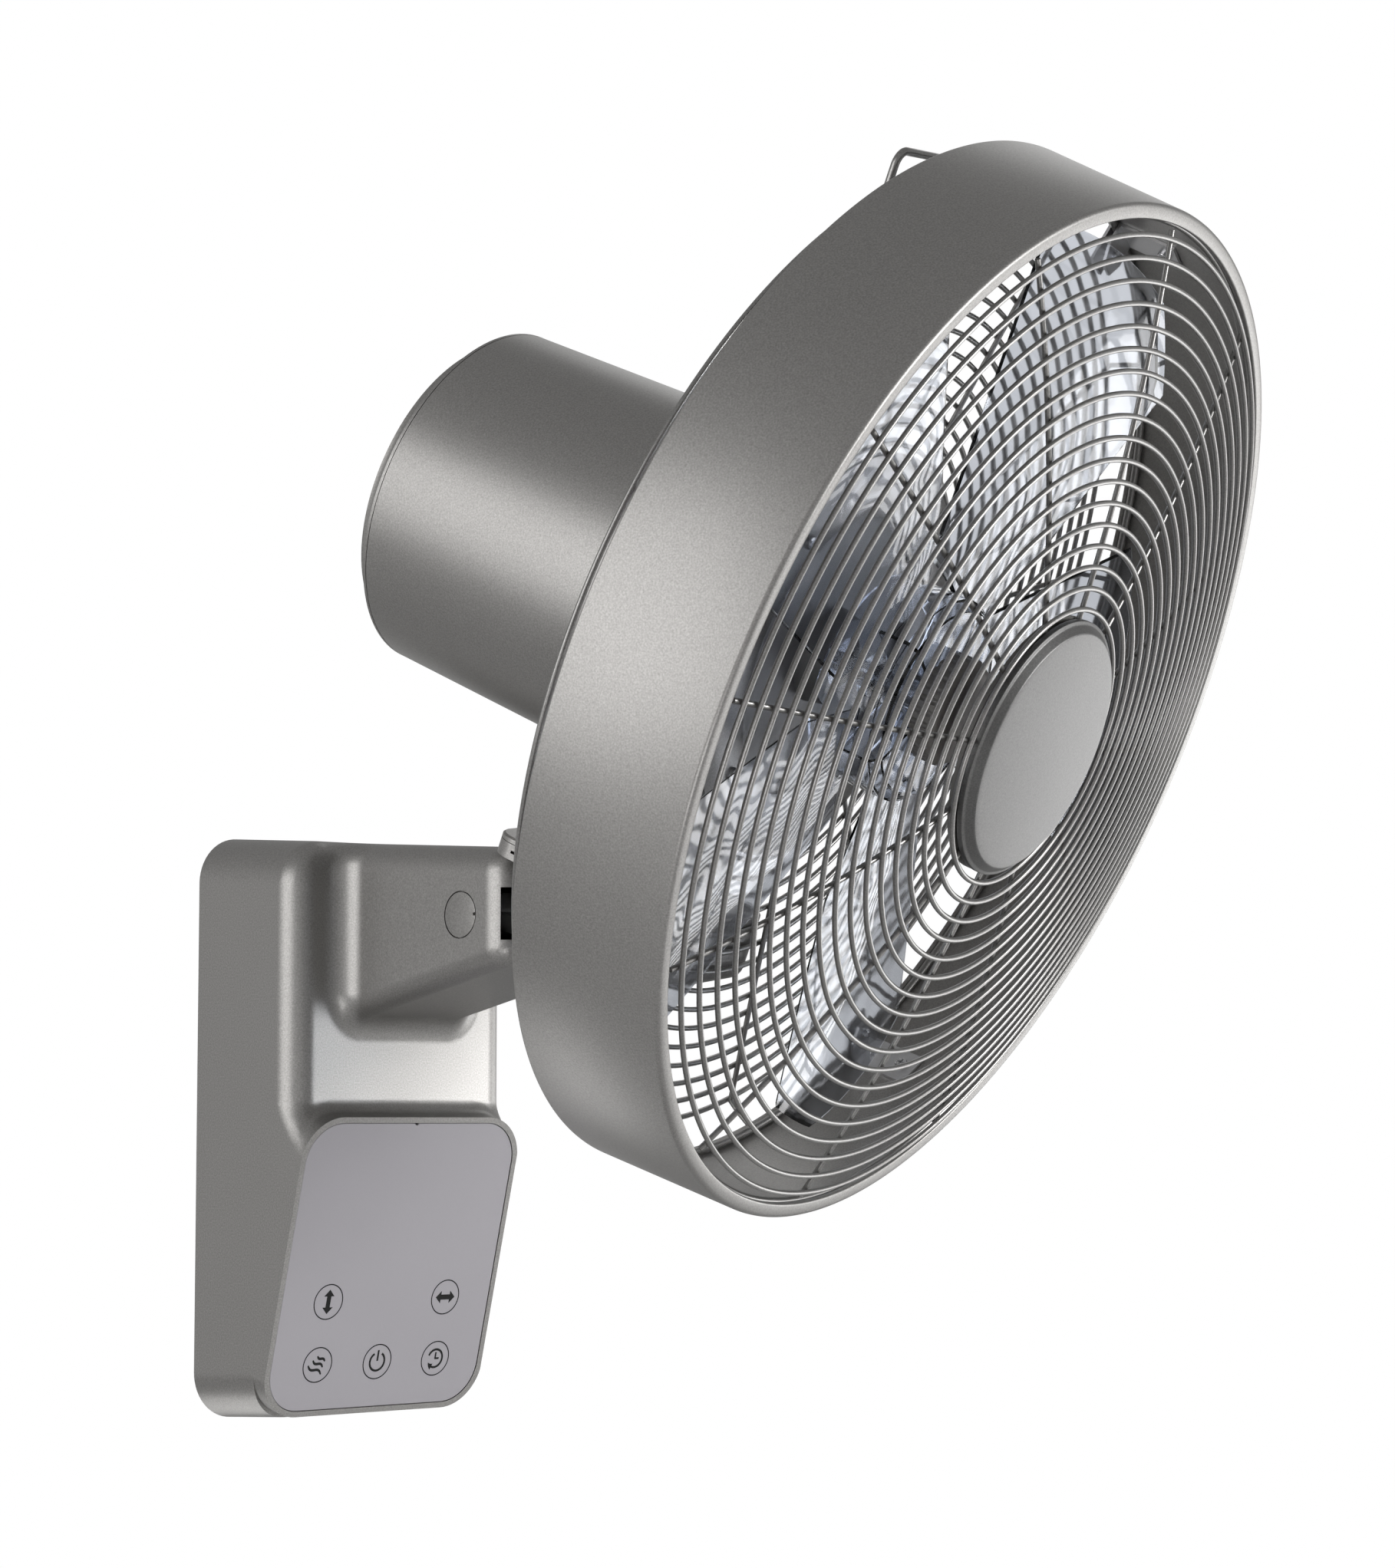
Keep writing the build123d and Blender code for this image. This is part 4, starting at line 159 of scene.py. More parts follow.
class FanSizes(bpy.types.PropertyGroup):
    """Sizes of the pieces, in millimetres."""

    wire_radius: size_property("Wire radius", "Radius of both grilles' rings and spokes", 1.1, min=0.5, max=3.0)
    border_radius: size_property("Border wire radius", "Radius of both grilles' outer wires", 1.6, min=0.8, max=3.0)
    ring_count: count_property("Front rings", "Rings of the front grille", 18, 6, 30)
    ring_first: size_property("First ring", "Radius of the front grille's innermost ring", 56.0)
    ring_pitch: size_property("Ring pitch", "Spacing of the front grille's rings", 8.24)
    dome_height: size_property("Dome height", "How far the front grille stands out before the drum", 24.0)
    dome_rim: size_property("Dome rim", "Radius at which the dome meets the drum's lip", 202.0)
    spoke_count: count_property("Spokes", "Spokes of each grille", 12, 4, 24)
    spoke_start: bpy.props.FloatProperty(
        name="First spoke", description="Turn from the head's right to the first spoke", default=math.radians(25.5),
        subtype="ANGLE")
    rear_count: count_property("Rear rings", "Rings of the rear grille", 15, 6, 30)
    rear_first: size_property("First rear ring", "Radius of the rear grille's innermost ring", 87.0)
    rear_pitch: size_property("Rear ring pitch", "Spacing of the rear grille's rings", 8.0)
    drum_rear: size_property("Drum rear", "The drum's rear edge along the fan axis", 59.3)
    drum_front: size_property("Drum front", "The drum's front edge along the fan axis", 121.3)
    drum_radius_rear: size_property("Drum rear radius", "Outer radius of the drum at its rear edge", 212.0)
    drum_radius_front: size_property("Drum front radius", "Outer radius of the drum at its front edge", 207.5)
    drum_wall: size_property("Drum wall", "Thickness of the drum's band", 2.5, min=1.0, max=5.0)
    lip_radius: size_property("Lip radius", "Inner radius of the drum's flat front lip", 201.5)
    cap_face: size_property("Cap face", "Radius of the centre cap's crowned face", 48.0)
    cap_ring: size_property("Cap ring", "Outer radius of the centre cap's foot", 52.0)
    cap_rim: size_property("Cap rim", "Edge of the centre cap's face along the fan axis", 148.3)
    cap_crown: size_property("Cap crown", "How far the centre cap's face bulges", 1.7)
    symbol_size: size_property("Symbol size", "Diameter of the ring round each touch symbol", 15.2)


class FanFinish(bpy.types.PropertyGroup):
    """Colours of the finishes."""

    housing: colour_property("Housing paint", "Satin paint of the bracket, the neck and the motor housing",
                             (0.300, 0.293, 0.284))
    drum: colour_property("Drum paint", "Satin paint of the drum", (0.300, 0.293, 0.284))
    wire: colour_property("Wire coat", "Coat of the grilles' wires", (0.27, 0.265, 0.258))
    panel: colour_property("Panel face", "Face of the touch panel", (0.400, 0.386, 0.412))
    ink: colour_property("Symbol ink", "Printed touch symbols", (0.004, 0.004, 0.004))
    steel: colour_property("Zinc plate", "Brackets, clips and screws", (0.60, 0.60, 0.61))
    cast: colour_property("Cast alloy", "Die cast pieces of the tilt joint and the motor", (0.33, 0.33, 0.33))
    blade: colour_property("Clear blades", "Clear plastic of the blades", (0.72, 0.75, 0.81))


# ---------------- meshes and their shading

MERGE_NEW = 2e-6            # metres within which corners of a new surface are one
MERGE_CAD = 5e-6            # metres within which corners of a CAD mesh are one
PLANE_TILT = 500            # triangles are in one plane when their normals agree to one part in this
PLANE_DEPTH = 10000         # and their distances from the origin to one part of a metre in this
LEAST_AREA = 1e-15          # square metres, below which a sliver has no direction of its own
LEAST_LENGTH = 1e-30        # so that nothing is divided by nothing


def new_object(name, data):
    """Object at the origin, in the scene."""
    made = bpy.data.objects.new(name, data)
    bpy.context.scene.collection.objects.link(made)
    return made


def merge_corners(source, mesh, distance, outwards=False):
    """The mesh takes the source's faces, with near corners made one and, if asked, every face turned outwards."""
    work = bmesh.new()
    work.from_mesh(source)
    bmesh.ops.remove_doubles(work, verts=work.verts, dist=distance)
    if outwards:
        bmesh.ops.recalc_face_normals(work, faces=work.faces)
    work.to_mesh(mesh)
    work.free()


def mesh_points(mesh):
    """Places of a mesh's vertices, one row each, in metres."""
    points = np.empty(3 * len(mesh.vertices))
    mesh.vertices.foreach_get("co", points)
    return points.reshape(-1, 3)


def shade_smooth(mesh):
    """Every face smooth."""
    mesh.polygons.foreach_set("use_smooth", np.ones(len(mesh.polygons), bool))


def plane_areas(triangles, normal, double_area):
    """For each triangle, the area of all triangles that lie in its plane: same normal, same distance."""
    distance = (triangles[:, 0] * normal).sum(1)
    plane = np.column_stack((normal * PLANE_TILT, distance * PLANE_DEPTH)).round().astype(np.int64)
    region = np.unique(plane, axis=0, return_inverse=True)[1].ravel()
    return np.bincount(region, double_area)[region]


def corner_pairs(vertex):
    """Every corner with every corner that shares its vertex, itself included, as two arrays of corner numbers."""
    order = np.argsort(vertex, kind="stable")
    count = np.bincount(vertex)
    first_at = np.cumsum(count) - count
    partners = count[vertex]
    corner = np.repeat(np.arange(len(vertex)), partners)
    step = np.arange(len(corner)) - np.repeat(np.cumsum(partners) - partners, partners)
    return corner, order[first_at[vertex[corner]] + step]


def even_normals(mesh, degrees_limit):
    """Corner normals of a triangle mesh: each is the mean of the faces round its vertex that lie within the limit
    of its own face, weighted by their corner angle and by the area of the whole flat region they belong to, so that
    a flat face stays flat up to the fillet beside it."""
    vertex = np.empty(len(mesh.loops), np.int32)
    mesh.loops.foreach_get("vertex_index", vertex)
    triangles = mesh_points(mesh)[vertex.reshape(-1, 3)]
    onward, back = np.roll(triangles, -1, 1) - triangles, np.roll(triangles, 1, 1) - triangles
    normal = np.cross(onward[:, 0], back[:, 0])
    double_area = np.maximum(np.linalg.norm(normal, axis=1), LEAST_AREA)
    normal /= double_area[:, None]
    corner_angle = np.arctan2(np.linalg.norm(np.cross(onward, back), axis=2), (onward * back).sum(2))
    corner_weight = (corner_angle * plane_areas(triangles, normal, double_area)[:, None]).ravel()
    corner, other = corner_pairs(vertex)
    turn = (normal[corner // 3] * normal[other // 3]).sum(1)
    weight = np.where(turn > math.cos(math.radians(degrees_limit)), corner_weight[other], 0)
    mean = np.stack([np.bincount(corner, weight * normal[other // 3, axis]) for axis in range(3)], -1)
    mean /= np.maximum(np.linalg.norm(mean, axis=1, keepdims=True), LEAST_LENGTH)
    shade_smooth(mesh)
    mesh.normals_split_custom_set(mean.tolist())
    mesh.update()


# ---------------- surfaces as arrays
# a grid is (points, wrap_rows, wrap_columns): a wrapped side joins its last line of points to its first

def grid_faces(rows, columns, wrap_rows, wrap_columns, start):
    """Quads of a grid: each face joins four neighbours."""
    index = start + np.arange(rows * columns).reshape(rows, columns)
    low, high = (index, np.roll(index, -1, 0)) if wrap_rows else (index[:-1], index[1:])
    if wrap_columns:
        quads = (low, high, np.roll(high, -1, 1), np.roll(low, -1, 1))
    else:
        quads = (low[:, :-1], high[:, :-1], high[:, 1:], low[:, 1:])
    return np.stack(quads, -1).reshape(-1, 4)


def mesh_piece(name, grids, angle=40.0):
    """Object made of grids: one mesh, near corners merged, faces outwards, edges sharper than the angle crisp."""
    points, faces, start = [], [], 0
    for grid, wrap_rows, wrap_columns in grids:
        rows, columns = grid.shape[:2]
        points.append(grid.reshape(-1, 3))
        faces.append(grid_faces(rows, columns, wrap_rows, wrap_columns, start))
        start += rows * columns
    points, faces = np.concatenate(points), np.concatenate(faces)
    mesh = bpy.data.meshes.new(name)
    mesh.vertices.add(len(points))
    mesh.vertices.foreach_set("co", points.astype(np.float32).ravel())
    mesh.loops.add(faces.size)
    mesh.loops.foreach_set("vertex_index", faces.ravel().astype(np.int32))
    mesh.polygons.add(len(faces))
    mesh.polygons.foreach_set("loop_start", np.arange(0, faces.size, 4, dtype=np.int32))
    mesh.update(calc_edges=True)
    mesh.validate()
    merge_corners(mesh, mesh, MERGE_NEW, outwards=True)
    shade_smooth(mesh)
    mesh.set_sharp_from_angle(angle=math.radians(angle))
    mesh.update()
    return new_object(name, mesh)


def head_points(right, up, forward):
    """Point = fan centre + right * RIGHT + up * UP + forward * FORWARD, from millimetres to metres."""
    right, up, forward = np.broadcast_arrays(right, up, forward)
    return CENTRE + MM * (right[..., None] * RIGHT + up[..., None] * UP + forward[..., None] * FORWARD)


def turned(profile, segments, closed=True):
    """Grid of a profile turned about the fan axis: right = r cos a, up = r sin a, forward as it is."""
    angle = np.linspace(0, 2 * np.pi, segments, endpoint=False)[:, None]
    radius, forward = np.asarray(profile, float).T
    return head_points(radius * np.cos(angle), radius * np.sin(angle), forward), True, closed


def wire_ring(radius, forward, wire, segments, sides):
    """Grid of a ring of round wire: a torus about the fan axis."""
    side = np.linspace(0, 2 * np.pi, sides, endpoint=False)
    return turned(np.stack((radius + wire * np.cos(side), forward + wire * np.sin(side)), -1), segments)


def radial_path(angle, radius, forward):
    """Path in a plane through the fan axis: right = r cos a, up = r sin a."""
    return head_points(radius * np.cos(angle), radius * np.sin(angle), forward)


def tube(path, radius, sides):
    """Grid of a round wire: path + radius (cos t N + sin t B), with N and B square to the path's tangent. Its ends
    close to a point."""
    tangent = np.gradient(path, axis=0)
    tangent = unit(np.concatenate((tangent[:1], tangent, tangent[-1:])))
    path = np.concatenate((path[:1], path, path[-1:]))
    radius = np.full(len(path), radius * MM)
    radius[[0, -1]] = 0
    normal = unit(np.cross(tangent, TUBE_SIDE))
    binormal = np.cross(tangent, normal)
    turn = np.linspace(0, 2 * np.pi, sides, endpoint=False)[None, :, None]
    ring = np.cos(turn) * normal[:, None, :] + np.sin(turn) * binormal[:, None, :]
    return path[:, None, :] + radius[:, None, None] * ring, False, True


def rounded_profile(corners, steps=ARC_STEPS):
    """Closed outline from (x, y, radius) corners: each corner is an arc tangent to both its sides."""
    corners = np.asarray(corners, float)
    point, radius = corners[:, :2], corners[:, 2:]
    before, after = unit(np.roll(point, 1, 0) - point), unit(np.roll(point, -1, 0) - point)
    half = np.arccos((before * after).sum(1, keepdims=True)) / 2
    centre = point + unit(before + after) * radius / np.sin(half)
    first = point + before * radius / np.tan(half) - centre
    last = point + after * radius / np.tan(half) - centre
    share = np.linspace(0, 1, steps)[None, :, None]
    sweep = np.pi - 2 * half[:, None, :]
    bow = np.sin((1 - share) * sweep) * first[:, None, :] + np.sin(share * sweep) * last[:, None, :]
    return (centre[:, None, :] + bow / np.sin(sweep)).reshape(-1, 2)


# ---------------- materials

BUMP_DEPTH = 0.00005        # metres of height that a bump of strength one gives
SLOW_SCALE = 14.0           # the drift from one part of a face to another
LINE_STRETCH = (1.0, 0.08, 1.0)     # rolled lines run along Y


def socket_kind(label):
    """Kind of a group's socket: all are numbers but the colour."""
    return "NodeSocketColor" if label == "Colour" else "NodeSocketFloat"


def new_group(name, values):
    """Shader node group, empty but for its sockets: a colour and named numbers in; colour, roughness and height
    out. Gives the group, its inputs and outputs, and the place on the piece."""
    group = bpy.data.node_groups.new(name, "ShaderNodeTree")
    for label, value in values.items():
        socket = group.interface.new_socket(name=label, in_out="INPUT", socket_type=socket_kind(label))
        socket.default_value = value
    for label in ("Colour", "Roughness", "Height"):
        group.interface.new_socket(name=label, in_out="OUTPUT", socket_type=socket_kind(label))
    place = group.nodes.new("ShaderNodeTexCoord").outputs["Object"]
    return group, group.nodes.new("NodeGroupInput").outputs, group.nodes.new("NodeGroupOutput").inputs, place


def join(tree, value, socket):
    """A number is set on the socket; another socket is linked to it."""
    if isinstance(value, (int, float)):
        socket.default_value = value
    else:
        tree.links.new(value, socket)


def math_node(tree, operation, first, second):
    """Math node with each input a number or a socket."""
    node = tree.nodes.new("ShaderNodeMath")
    node.operation = operation
    join(tree, first, node.inputs[0])
    join(tree, second, node.inputs[1])
    return node.outputs[0]


def noise(tree, vector, scale, detail):
    """Noise texture, about 0.5 on average."""
    node = tree.nodes.new("ShaderNodeTexNoise")
    node.inputs["Detail"].default_value = detail
    join(tree, scale, node.inputs["Scale"])
    tree.links.new(vector, node.inputs["Vector"])
    return node.outputs["Fac"]


def about_zero(tree, value, amount):
    """(value - 0.5) * amount: noise about a half becomes a change up and down."""
    return math_node(tree, "MULTIPLY", math_node(tree, "SUBTRACT", value, 0.5), amount)


def changed_colour(tree, colour, change):
    """Colour * (1 + change)."""
    node = tree.nodes.new("ShaderNodeVectorMath")
    node.operation = "SCALE"
    tree.links.new(colour, node.inputs[0])
    tree.links.new(math_node(tree, "ADD", change, 1.0), node.inputs["Scale"])
    return node.outputs[0]


def grain_group():
    """Sprayed or moulded grain: fine flakes and a slow drift change the colour, the roughness and the height."""
    group, source, result, place = new_group("surface_grain", {
        "Colour": (0.3, 0.3, 0.3, 1.0), "Flake scale": 2600.0, "Flake": 0.12, "Drift": 0.05, "Roughness": 0.4,
        "Rough spread": 0.1})
    flakes = noise(group, place, source["Flake scale"], 2.0)
    slow = noise(group, place, SLOW_SCALE, 3.0)
    change = math_node(group, "ADD", about_zero(group, flakes, source["Flake"]),
                       about_zero(group, slow, source["Drift"]))
    spread = about_zero(group, slow, source["Rough spread"])
    group.links.new(changed_colour(group, source["Colour"], change), result["Colour"])
    group.links.new(math_node(group, "ADD", source["Roughness"], spread), result["Roughness"])
    group.links.new(flakes, result["Height"])
    return group


def brushed_group():
    """Drawn or rolled metal: noise stretched along one axis gives fine lines in the colour and the height."""
    group, source, result, place = new_group("rolled_lines", {
        "Colour": (0.6, 0.6, 0.6, 1.0), "Line scale": 900.0, "Depth": 0.2, "Roughness": 0.35})
    stretch = group.nodes.new("ShaderNodeMapping")
    stretch.inputs["Scale"].default_value = LINE_STRETCH
    group.links.new(place, stretch.inputs["Vector"])
    lines = noise(group, stretch.outputs[0], source["Line scale"], 3.0)
    change = about_zero(group, lines, source["Depth"])
    group.links.new(changed_colour(group, source["Colour"], change), result["Colour"])
    group.links.new(math_node(group, "ADD", source["Roughness"], change), result["Roughness"])
    group.links.new(lines, result["Height"])
    return group


def rippled_group():
    """Clear moulding: plain colour, and slow waves in its faces that bend what is seen through it."""
    group, source, result, place = new_group("moulded_ripple", {
        "Colour": (0.8, 0.8, 0.8, 1.0), "Wave scale": 45.0, "Wave depth": 12.0, "Roughness": 0.04})
    waves = noise(group, place, source["Wave scale"], 0.0)
    group.links.new(source["Colour"], result["Colour"])
    group.links.new(source["Roughness"], result["Roughness"])
    group.links.new(math_node(group, "MULTIPLY", waves, source["Wave depth"]), result["Height"])
    return group


GROUP_MAKERS = {"grain": grain_group, "brushed": brushed_group, "rippled": rippled_group}
GROUPS = {}
MATERIALS = {}


def shared_group(name):
    """The shared group of that name, built once."""
    if name not in GROUPS:
        GROUPS[name] = GROUP_MAKERS[name]()
    return GROUPS[name]


def finish(name, group, colour, values, metallic, bump, plain=None):
    """Material: a shared group feeds a Principled BSDF's colour, roughness and bump; plain values sit on its own
    sockets."""
    material = bpy.data.materials.new(name)
    material.use_nodes = True
    tree = material.node_tree
    tree.nodes.clear()
    output = tree.nodes.new("ShaderNodeOutputMaterial")
    shader = tree.nodes.new("ShaderNodeBsdfPrincipled")
    tree.links.new(shader.outputs[0], output.inputs["Surface"])
    surface = tree.nodes.new("ShaderNodeGroup")
    surface.node_tree = shared_group(group)
    for socket, value in {"Colour": (*colour, 1.0), **values}.items():
        surface.inputs[socket].default_value = value
    tree.links.new(surface.outputs["Colour"], shader.inputs["Base Color"])
    tree.links.new(surface.outputs["Roughness"], shader.inputs["Roughness"])
    height = tree.nodes.new("ShaderNodeBump")
    height.inputs["Strength"].default_value = bump
    height.inputs["Distance"].default_value = BUMP_DEPTH
    tree.links.new(surface.outputs["Height"], height.inputs["Height"])
    tree.links.new(height.outputs[0], shader.inputs["Normal"])
    for socket, value in {"Metallic": metallic, **(plain or {})}.items():
        shader.inputs[socket].default_value = value
    return material


def recipes():
    """The finishes: group, colour, the group's values, metallic, bump, and plain values for other sockets."""
    tone = bpy.context.scene.wall_fan_finish
    satin = {"Flake scale": 1500.0, "Flake": 0.80, "Drift": 0.05, "Roughness": 0.40, "Rough spread": 0.06}
    moulded = {"Flake scale": 1500.0, "Flake": 0.06, "Drift": 0.06, "Roughness": 0.5, "Rough spread": 0.12}
    lines = {"Line scale": 900.0, "Depth": 0.18, "Roughness": 0.34}
    ripple = {"Wave scale": 45.0, "Wave depth": 12.0, "Roughness": 0.04}
    return {
        "housing_satin": ("grain", tone.housing, satin, 0.80, 0.12),
        "drum_satin": ("grain", tone.drum, satin, 0.80, 0.12),
        "wire_satin": ("grain", tone.wire, dict(satin, Roughness=0.30), 0.78, 0.08),
        "cap_satin": ("grain", (0.130, 0.129, 0.127), dict(satin, Roughness=0.42), 0.80, 0.12),
        "hub_satin": ("grain", (0.20, 0.195, 0.185), moulded, 0.3, 0.1),
        "panel_gloss": ("grain", tone.panel, dict(satin, Flake=0.05, Roughness=0.33), 0.35, 0.03),
        "zinc": ("brushed", tone.steel, lines, 1.0, 0.1),
        "screw_zinc": ("brushed", tone.steel, dict(lines, Roughness=0.28), 1.0, 0.1),
        "turned_steel": ("brushed", (0.55, 0.55, 0.56), dict(lines, Roughness=0.25), 1.0, 0.08),
        "cast_alloy": ("grain", tone.cast, dict(moulded, Flake=0.2, Roughness=0.52), 0.85, 0.3),
        "nylon": ("grain", (0.72, 0.70, 0.64), moulded, 0.0, 0.1),
        "motor_can": ("brushed", (0.40, 0.40, 0.41), dict(lines, Roughness=0.36), 1.0, 0.08),
        "core_steel": ("brushed", (0.20, 0.20, 0.21), dict(lines, Depth=0.3), 0.9, 0.2),
        "copper_wire": ("brushed", (0.62, 0.27, 0.12), dict(lines, Depth=0.35), 1.0, 0.3),
        "board": ("grain", (0.02, 0.12, 0.05), dict(moulded, Roughness=0.4), 0.0, 0.1),
        "rubber": ("grain", (0.03, 0.03, 0.03), dict(moulded, Roughness=0.75), 0.0, 0.3),
        "ink": ("grain", tone.ink, dict(moulded, Roughness=0.9), 0.0, 0.0),
        "nut_grey": ("grain", (0.26, 0.25, 0.235), dict(moulded, Roughness=0.38), 0.35, 0.1),
        "clear_plastic": ("rippled", tone.blade, ripple, 0.0, 1.0, {"Transmission Weight": 1.0, "IOR": 1.46}),
    }


def material_for(name):
    """The finish of that name, built once from the colours in the sidebar."""
    if name not in MATERIALS:
        MATERIALS[name] = finish(name, *recipes()[name])
    return MATERIALS[name]


def dress(piece, body, material, slot, *nodes):
    """The piece takes its material, moves with the body and stands for the nodes."""
    piece.data.materials.clear()
    piece.data.materials.append(material_for(material))
    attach(piece, body)
    if nodes:
        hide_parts(*nodes)


# material and slot of the painted housings, and the angle in degrees up to which their faces shade as one
HOUSING = ("housing_satin", "housing_paint", 24.0)


def smooth_copy(node, name, body, material, slot, angle=32.0):
    """Copy of a CAD node with its corners merged, so that its curves shade smoothly and its edges stay crisp."""
    mesh = bpy.data.meshes.new(name)
    merge_corners(NODES[node].data, mesh, MERGE_CAD)
    even_normals(mesh, angle)
    dress(new_object(name, mesh), body, material, slot, node)


def paint(material, *nodes):
    """CAD nodes whose shape is right take their material on their own slots."""
    for node in nodes:
        data = NODES[node].data
        if not data.materials:
            data.materials.append(material_for(material))
        for k in range(len(data.materials)):
            data.materials[k] = material_for(material)


# ---------------- bracket

def pivot_covers():
    """Grids of the round covers on both sides of the arm: an outline with a notch, drawn in to the middle of the
    face, over a rounded rim and back to the middle of the seat."""
    low, high = (np.array(corner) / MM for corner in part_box("pivot_caps"))
    axis, rim = (low + high) / 2, (high[2] - low[2]) / 2
    outer, inner = NOTCH_HALF + NOTCH_SLANT, NOTCH_HALF - NOTCH_SLANT
    turn = np.radians(np.concatenate((np.linspace(outer, 360 - outer, 90), (-inner, inner)))[:, None])
    notch = np.where(np.cos(turn) > math.cos(math.radians(NOTCH_HALF)), NOTCH_DEPTH, 0.0)
    roll = np.radians(np.linspace(0, 90, 4))
    inset = np.concatenate(((rim,), COVER_ROUNDING * (1 - np.sin(roll)), (0.0, rim)))
    depth = np.concatenate(((0.0,), COVER_ROUNDING * (1 - np.cos(roll)), (COVER_DEPTH, COVER_DEPTH)))
    reach = np.maximum(rim - COVER_GAP - notch - inset, 0.0)
    covers = []
    for side in (-1, 1):
        across = side * (high[0] - depth) + 0 * reach
        disc = np.stack((across, axis[1] - reach * np.cos(turn), axis[2] + reach * np.sin(turn)), -1)
        covers.append((MM * disc, True, False))
    return covers


class FAN_OT_bracket(bpy.types.Operator):
    """Moulded bracket with its arm, wall plate, pivot covers and what is inside"""

    bl_idname = "wall_fan.bracket"
    bl_label = "Bracket"

    def execute(self, context):
        smooth_copy("base_housing", "bracket_housing", "bracket", *HOUSING)
        covers = mesh_piece("pivot_covers", pivot_covers(), angle=50.0)
        dress(covers, "bracket", "housing_satin", "cap_trim", "pivot_caps")
        smooth_copy("wall_plate", "steel_wall_plate", "bracket", "zinc", "zinc_steel")
        smooth_copy("cable_grommet", "rubber_grommet", "bracket", "rubber", "black_rubber")
        smooth_copy("tilt_pin", "tilt_pin_steel", "bracket", "turned_steel", "turned_steel")
        paint("board", "power_board", "control_board")
        paint("screw_zinc", "housing_screws", "board_screws", "tilt_motor_screws")
        paint("motor_can", "tilt_motor")
        paint("nylon", "tilt_pinion")
        return {"FINISHED"}


# ---------------- touch panel
# a sign is a list of (path, width) strokes: millimetres to the right of and down from the middle of the top edge

def arc(centre, radius, begin, end, count=40):
    """Arc about a centre, from begin to end in degrees, counted clockwise from the top."""
    turn = np.radians(np.linspace(begin, end, count))
    return np.stack((centre[0] + radius * np.sin(turn), centre[1] - radius * np.cos(turn)), -1)


def line(first, last):
    """Straight line of nine points, so that a width can change along it."""
    first, last = np.array(first, float), np.array(last, float)
    return first + (last - first) * np.linspace(0, 1, 9)[:, None]


def double_arrow(centre, direction):
    """Two arrows: a bar between two heads, each a line whose width falls to a point."""
    bar, foot, tip = (reach * np.array(direction, float) for reach in (2.6, 2.4, 5.3))
    bar_width, head_width = 2.3, np.linspace(5.6, STROKE_POINT, 9)
    return [(line(centre - bar, centre + bar), bar_width), (line(centre + foot, centre + tip), head_width),
            (line(centre - foot, centre - tip), head_width)]


def power_sign(centre):
    """Power: a ring open at the top, with an upright bar in the opening."""
    right, down = centre
    return [(arc(centre, SIGN_RADIUS, 30, 330), SIGN_STROKE),
            (line((right, down - 5.1), (right, down - 0.3)), BAR_STROKE)]


def timer_sign(centre):
    """Timer: an open ring that ends in an arrow head, round the two hands of a clock."""
    right, down = centre
    return [(arc(centre, SIGN_RADIUS, -70, 205), SIGN_STROKE),
            (arc(centre, SIGN_RADIUS, 203, 244, 9), np.linspace(3.0, STROKE_POINT, 9)),
            (line((right, down - 2.8), (right, down + 0.3)), HAND_STROKE),
            (line((right - 0.3, down), (right + 2.1, down)), HAND_STROKE)]


def wind_sign(centre):
    """Wind: three waves, each a line that swings out by 0.11 sin(2 pi s) of its length, 0.55 wide at its ends and 1.2
    wide halfway."""
    share = np.linspace(0, 1, 33)[:, None]
    width = 0.55 + 0.65 * np.sin(np.pi * share[:, 0]) ** 0.5
    strokes = []
    for first, last in WAVES:
        run = np.subtract(last, first)
        swing = run[::-1] * (-1, 1) * 0.11 * np.sin(2 * np.pi * share)
        strokes.append((centre + first + run * share + swing, width))
    return strokes


def stroke(path, width, level):
    """Grid of a printed line: the path widened by half the width to each side, raised to a level above the panel's
    top edge, with a thin rim and closed ends."""
    side = unit(np.gradient(path, axis=0)[:, ::-1] * (-1, 1)) * np.reshape(width, (-1, 1)) / 2
    left, right = (MM * (PANEL_TOP + flat[:, :1] * PANEL_ACROSS + flat[:, 1:] * PANEL_DOWN + level * PANEL_OUT)
                   for flat in (path + side, path - side))
    sunk = MM * INK_THICKNESS * PANEL_OUT
    grid = np.stack((left - sunk, left, right, right - sunk), 1)
    ends = np.repeat(grid[[0, -1]].mean(1, keepdims=True), grid.shape[1], 1)
    return np.concatenate((ends[:1], grid, ends[1:])), False, True


class FAN_OT_panel(bpy.types.Operator):
    """Touch panel with its ring-framed symbols: two arrows, waves, power and timer"""

    bl_idname = "wall_fan.panel"
    bl_label = "Touch panel"

    def execute(self, context):
        smooth_copy("control_panel", "touch_panel", "bracket", "panel_gloss", "panel_face")
        face = mesh_points(NODES["control_panel"].data) / MM
        level = ((face - PANEL_TOP) @ PANEL_OUT).max() + PRINT_HEIGHT
        spots = {name: np.array((right, (height - PANEL_TOP[2]) / PANEL_DOWN[2]))
                 for name, (right, height) in SYMBOL_PLACES.items()}
        ring = context.scene.wall_fan_sizes.symbol_size / 2
        signs = [(arc(spot, ring, 0, 360, 73), RING_STROKE) for spot in spots.values()]
        signs += double_arrow(spots["tilt"], (0, 1)) + double_arrow(spots["swing"], (1, 0))
        signs += power_sign(spots["power"]) + timer_sign(spots["timer"]) + wind_sign(spots["wind"])
        symbols = mesh_piece("touch_symbols", [stroke(path, width, level) for path, width in signs], angle=30.0)
        dress(symbols, "bracket", "ink", "panel_face")
        return {"FINISHED"}


# ---------------- neck and motor

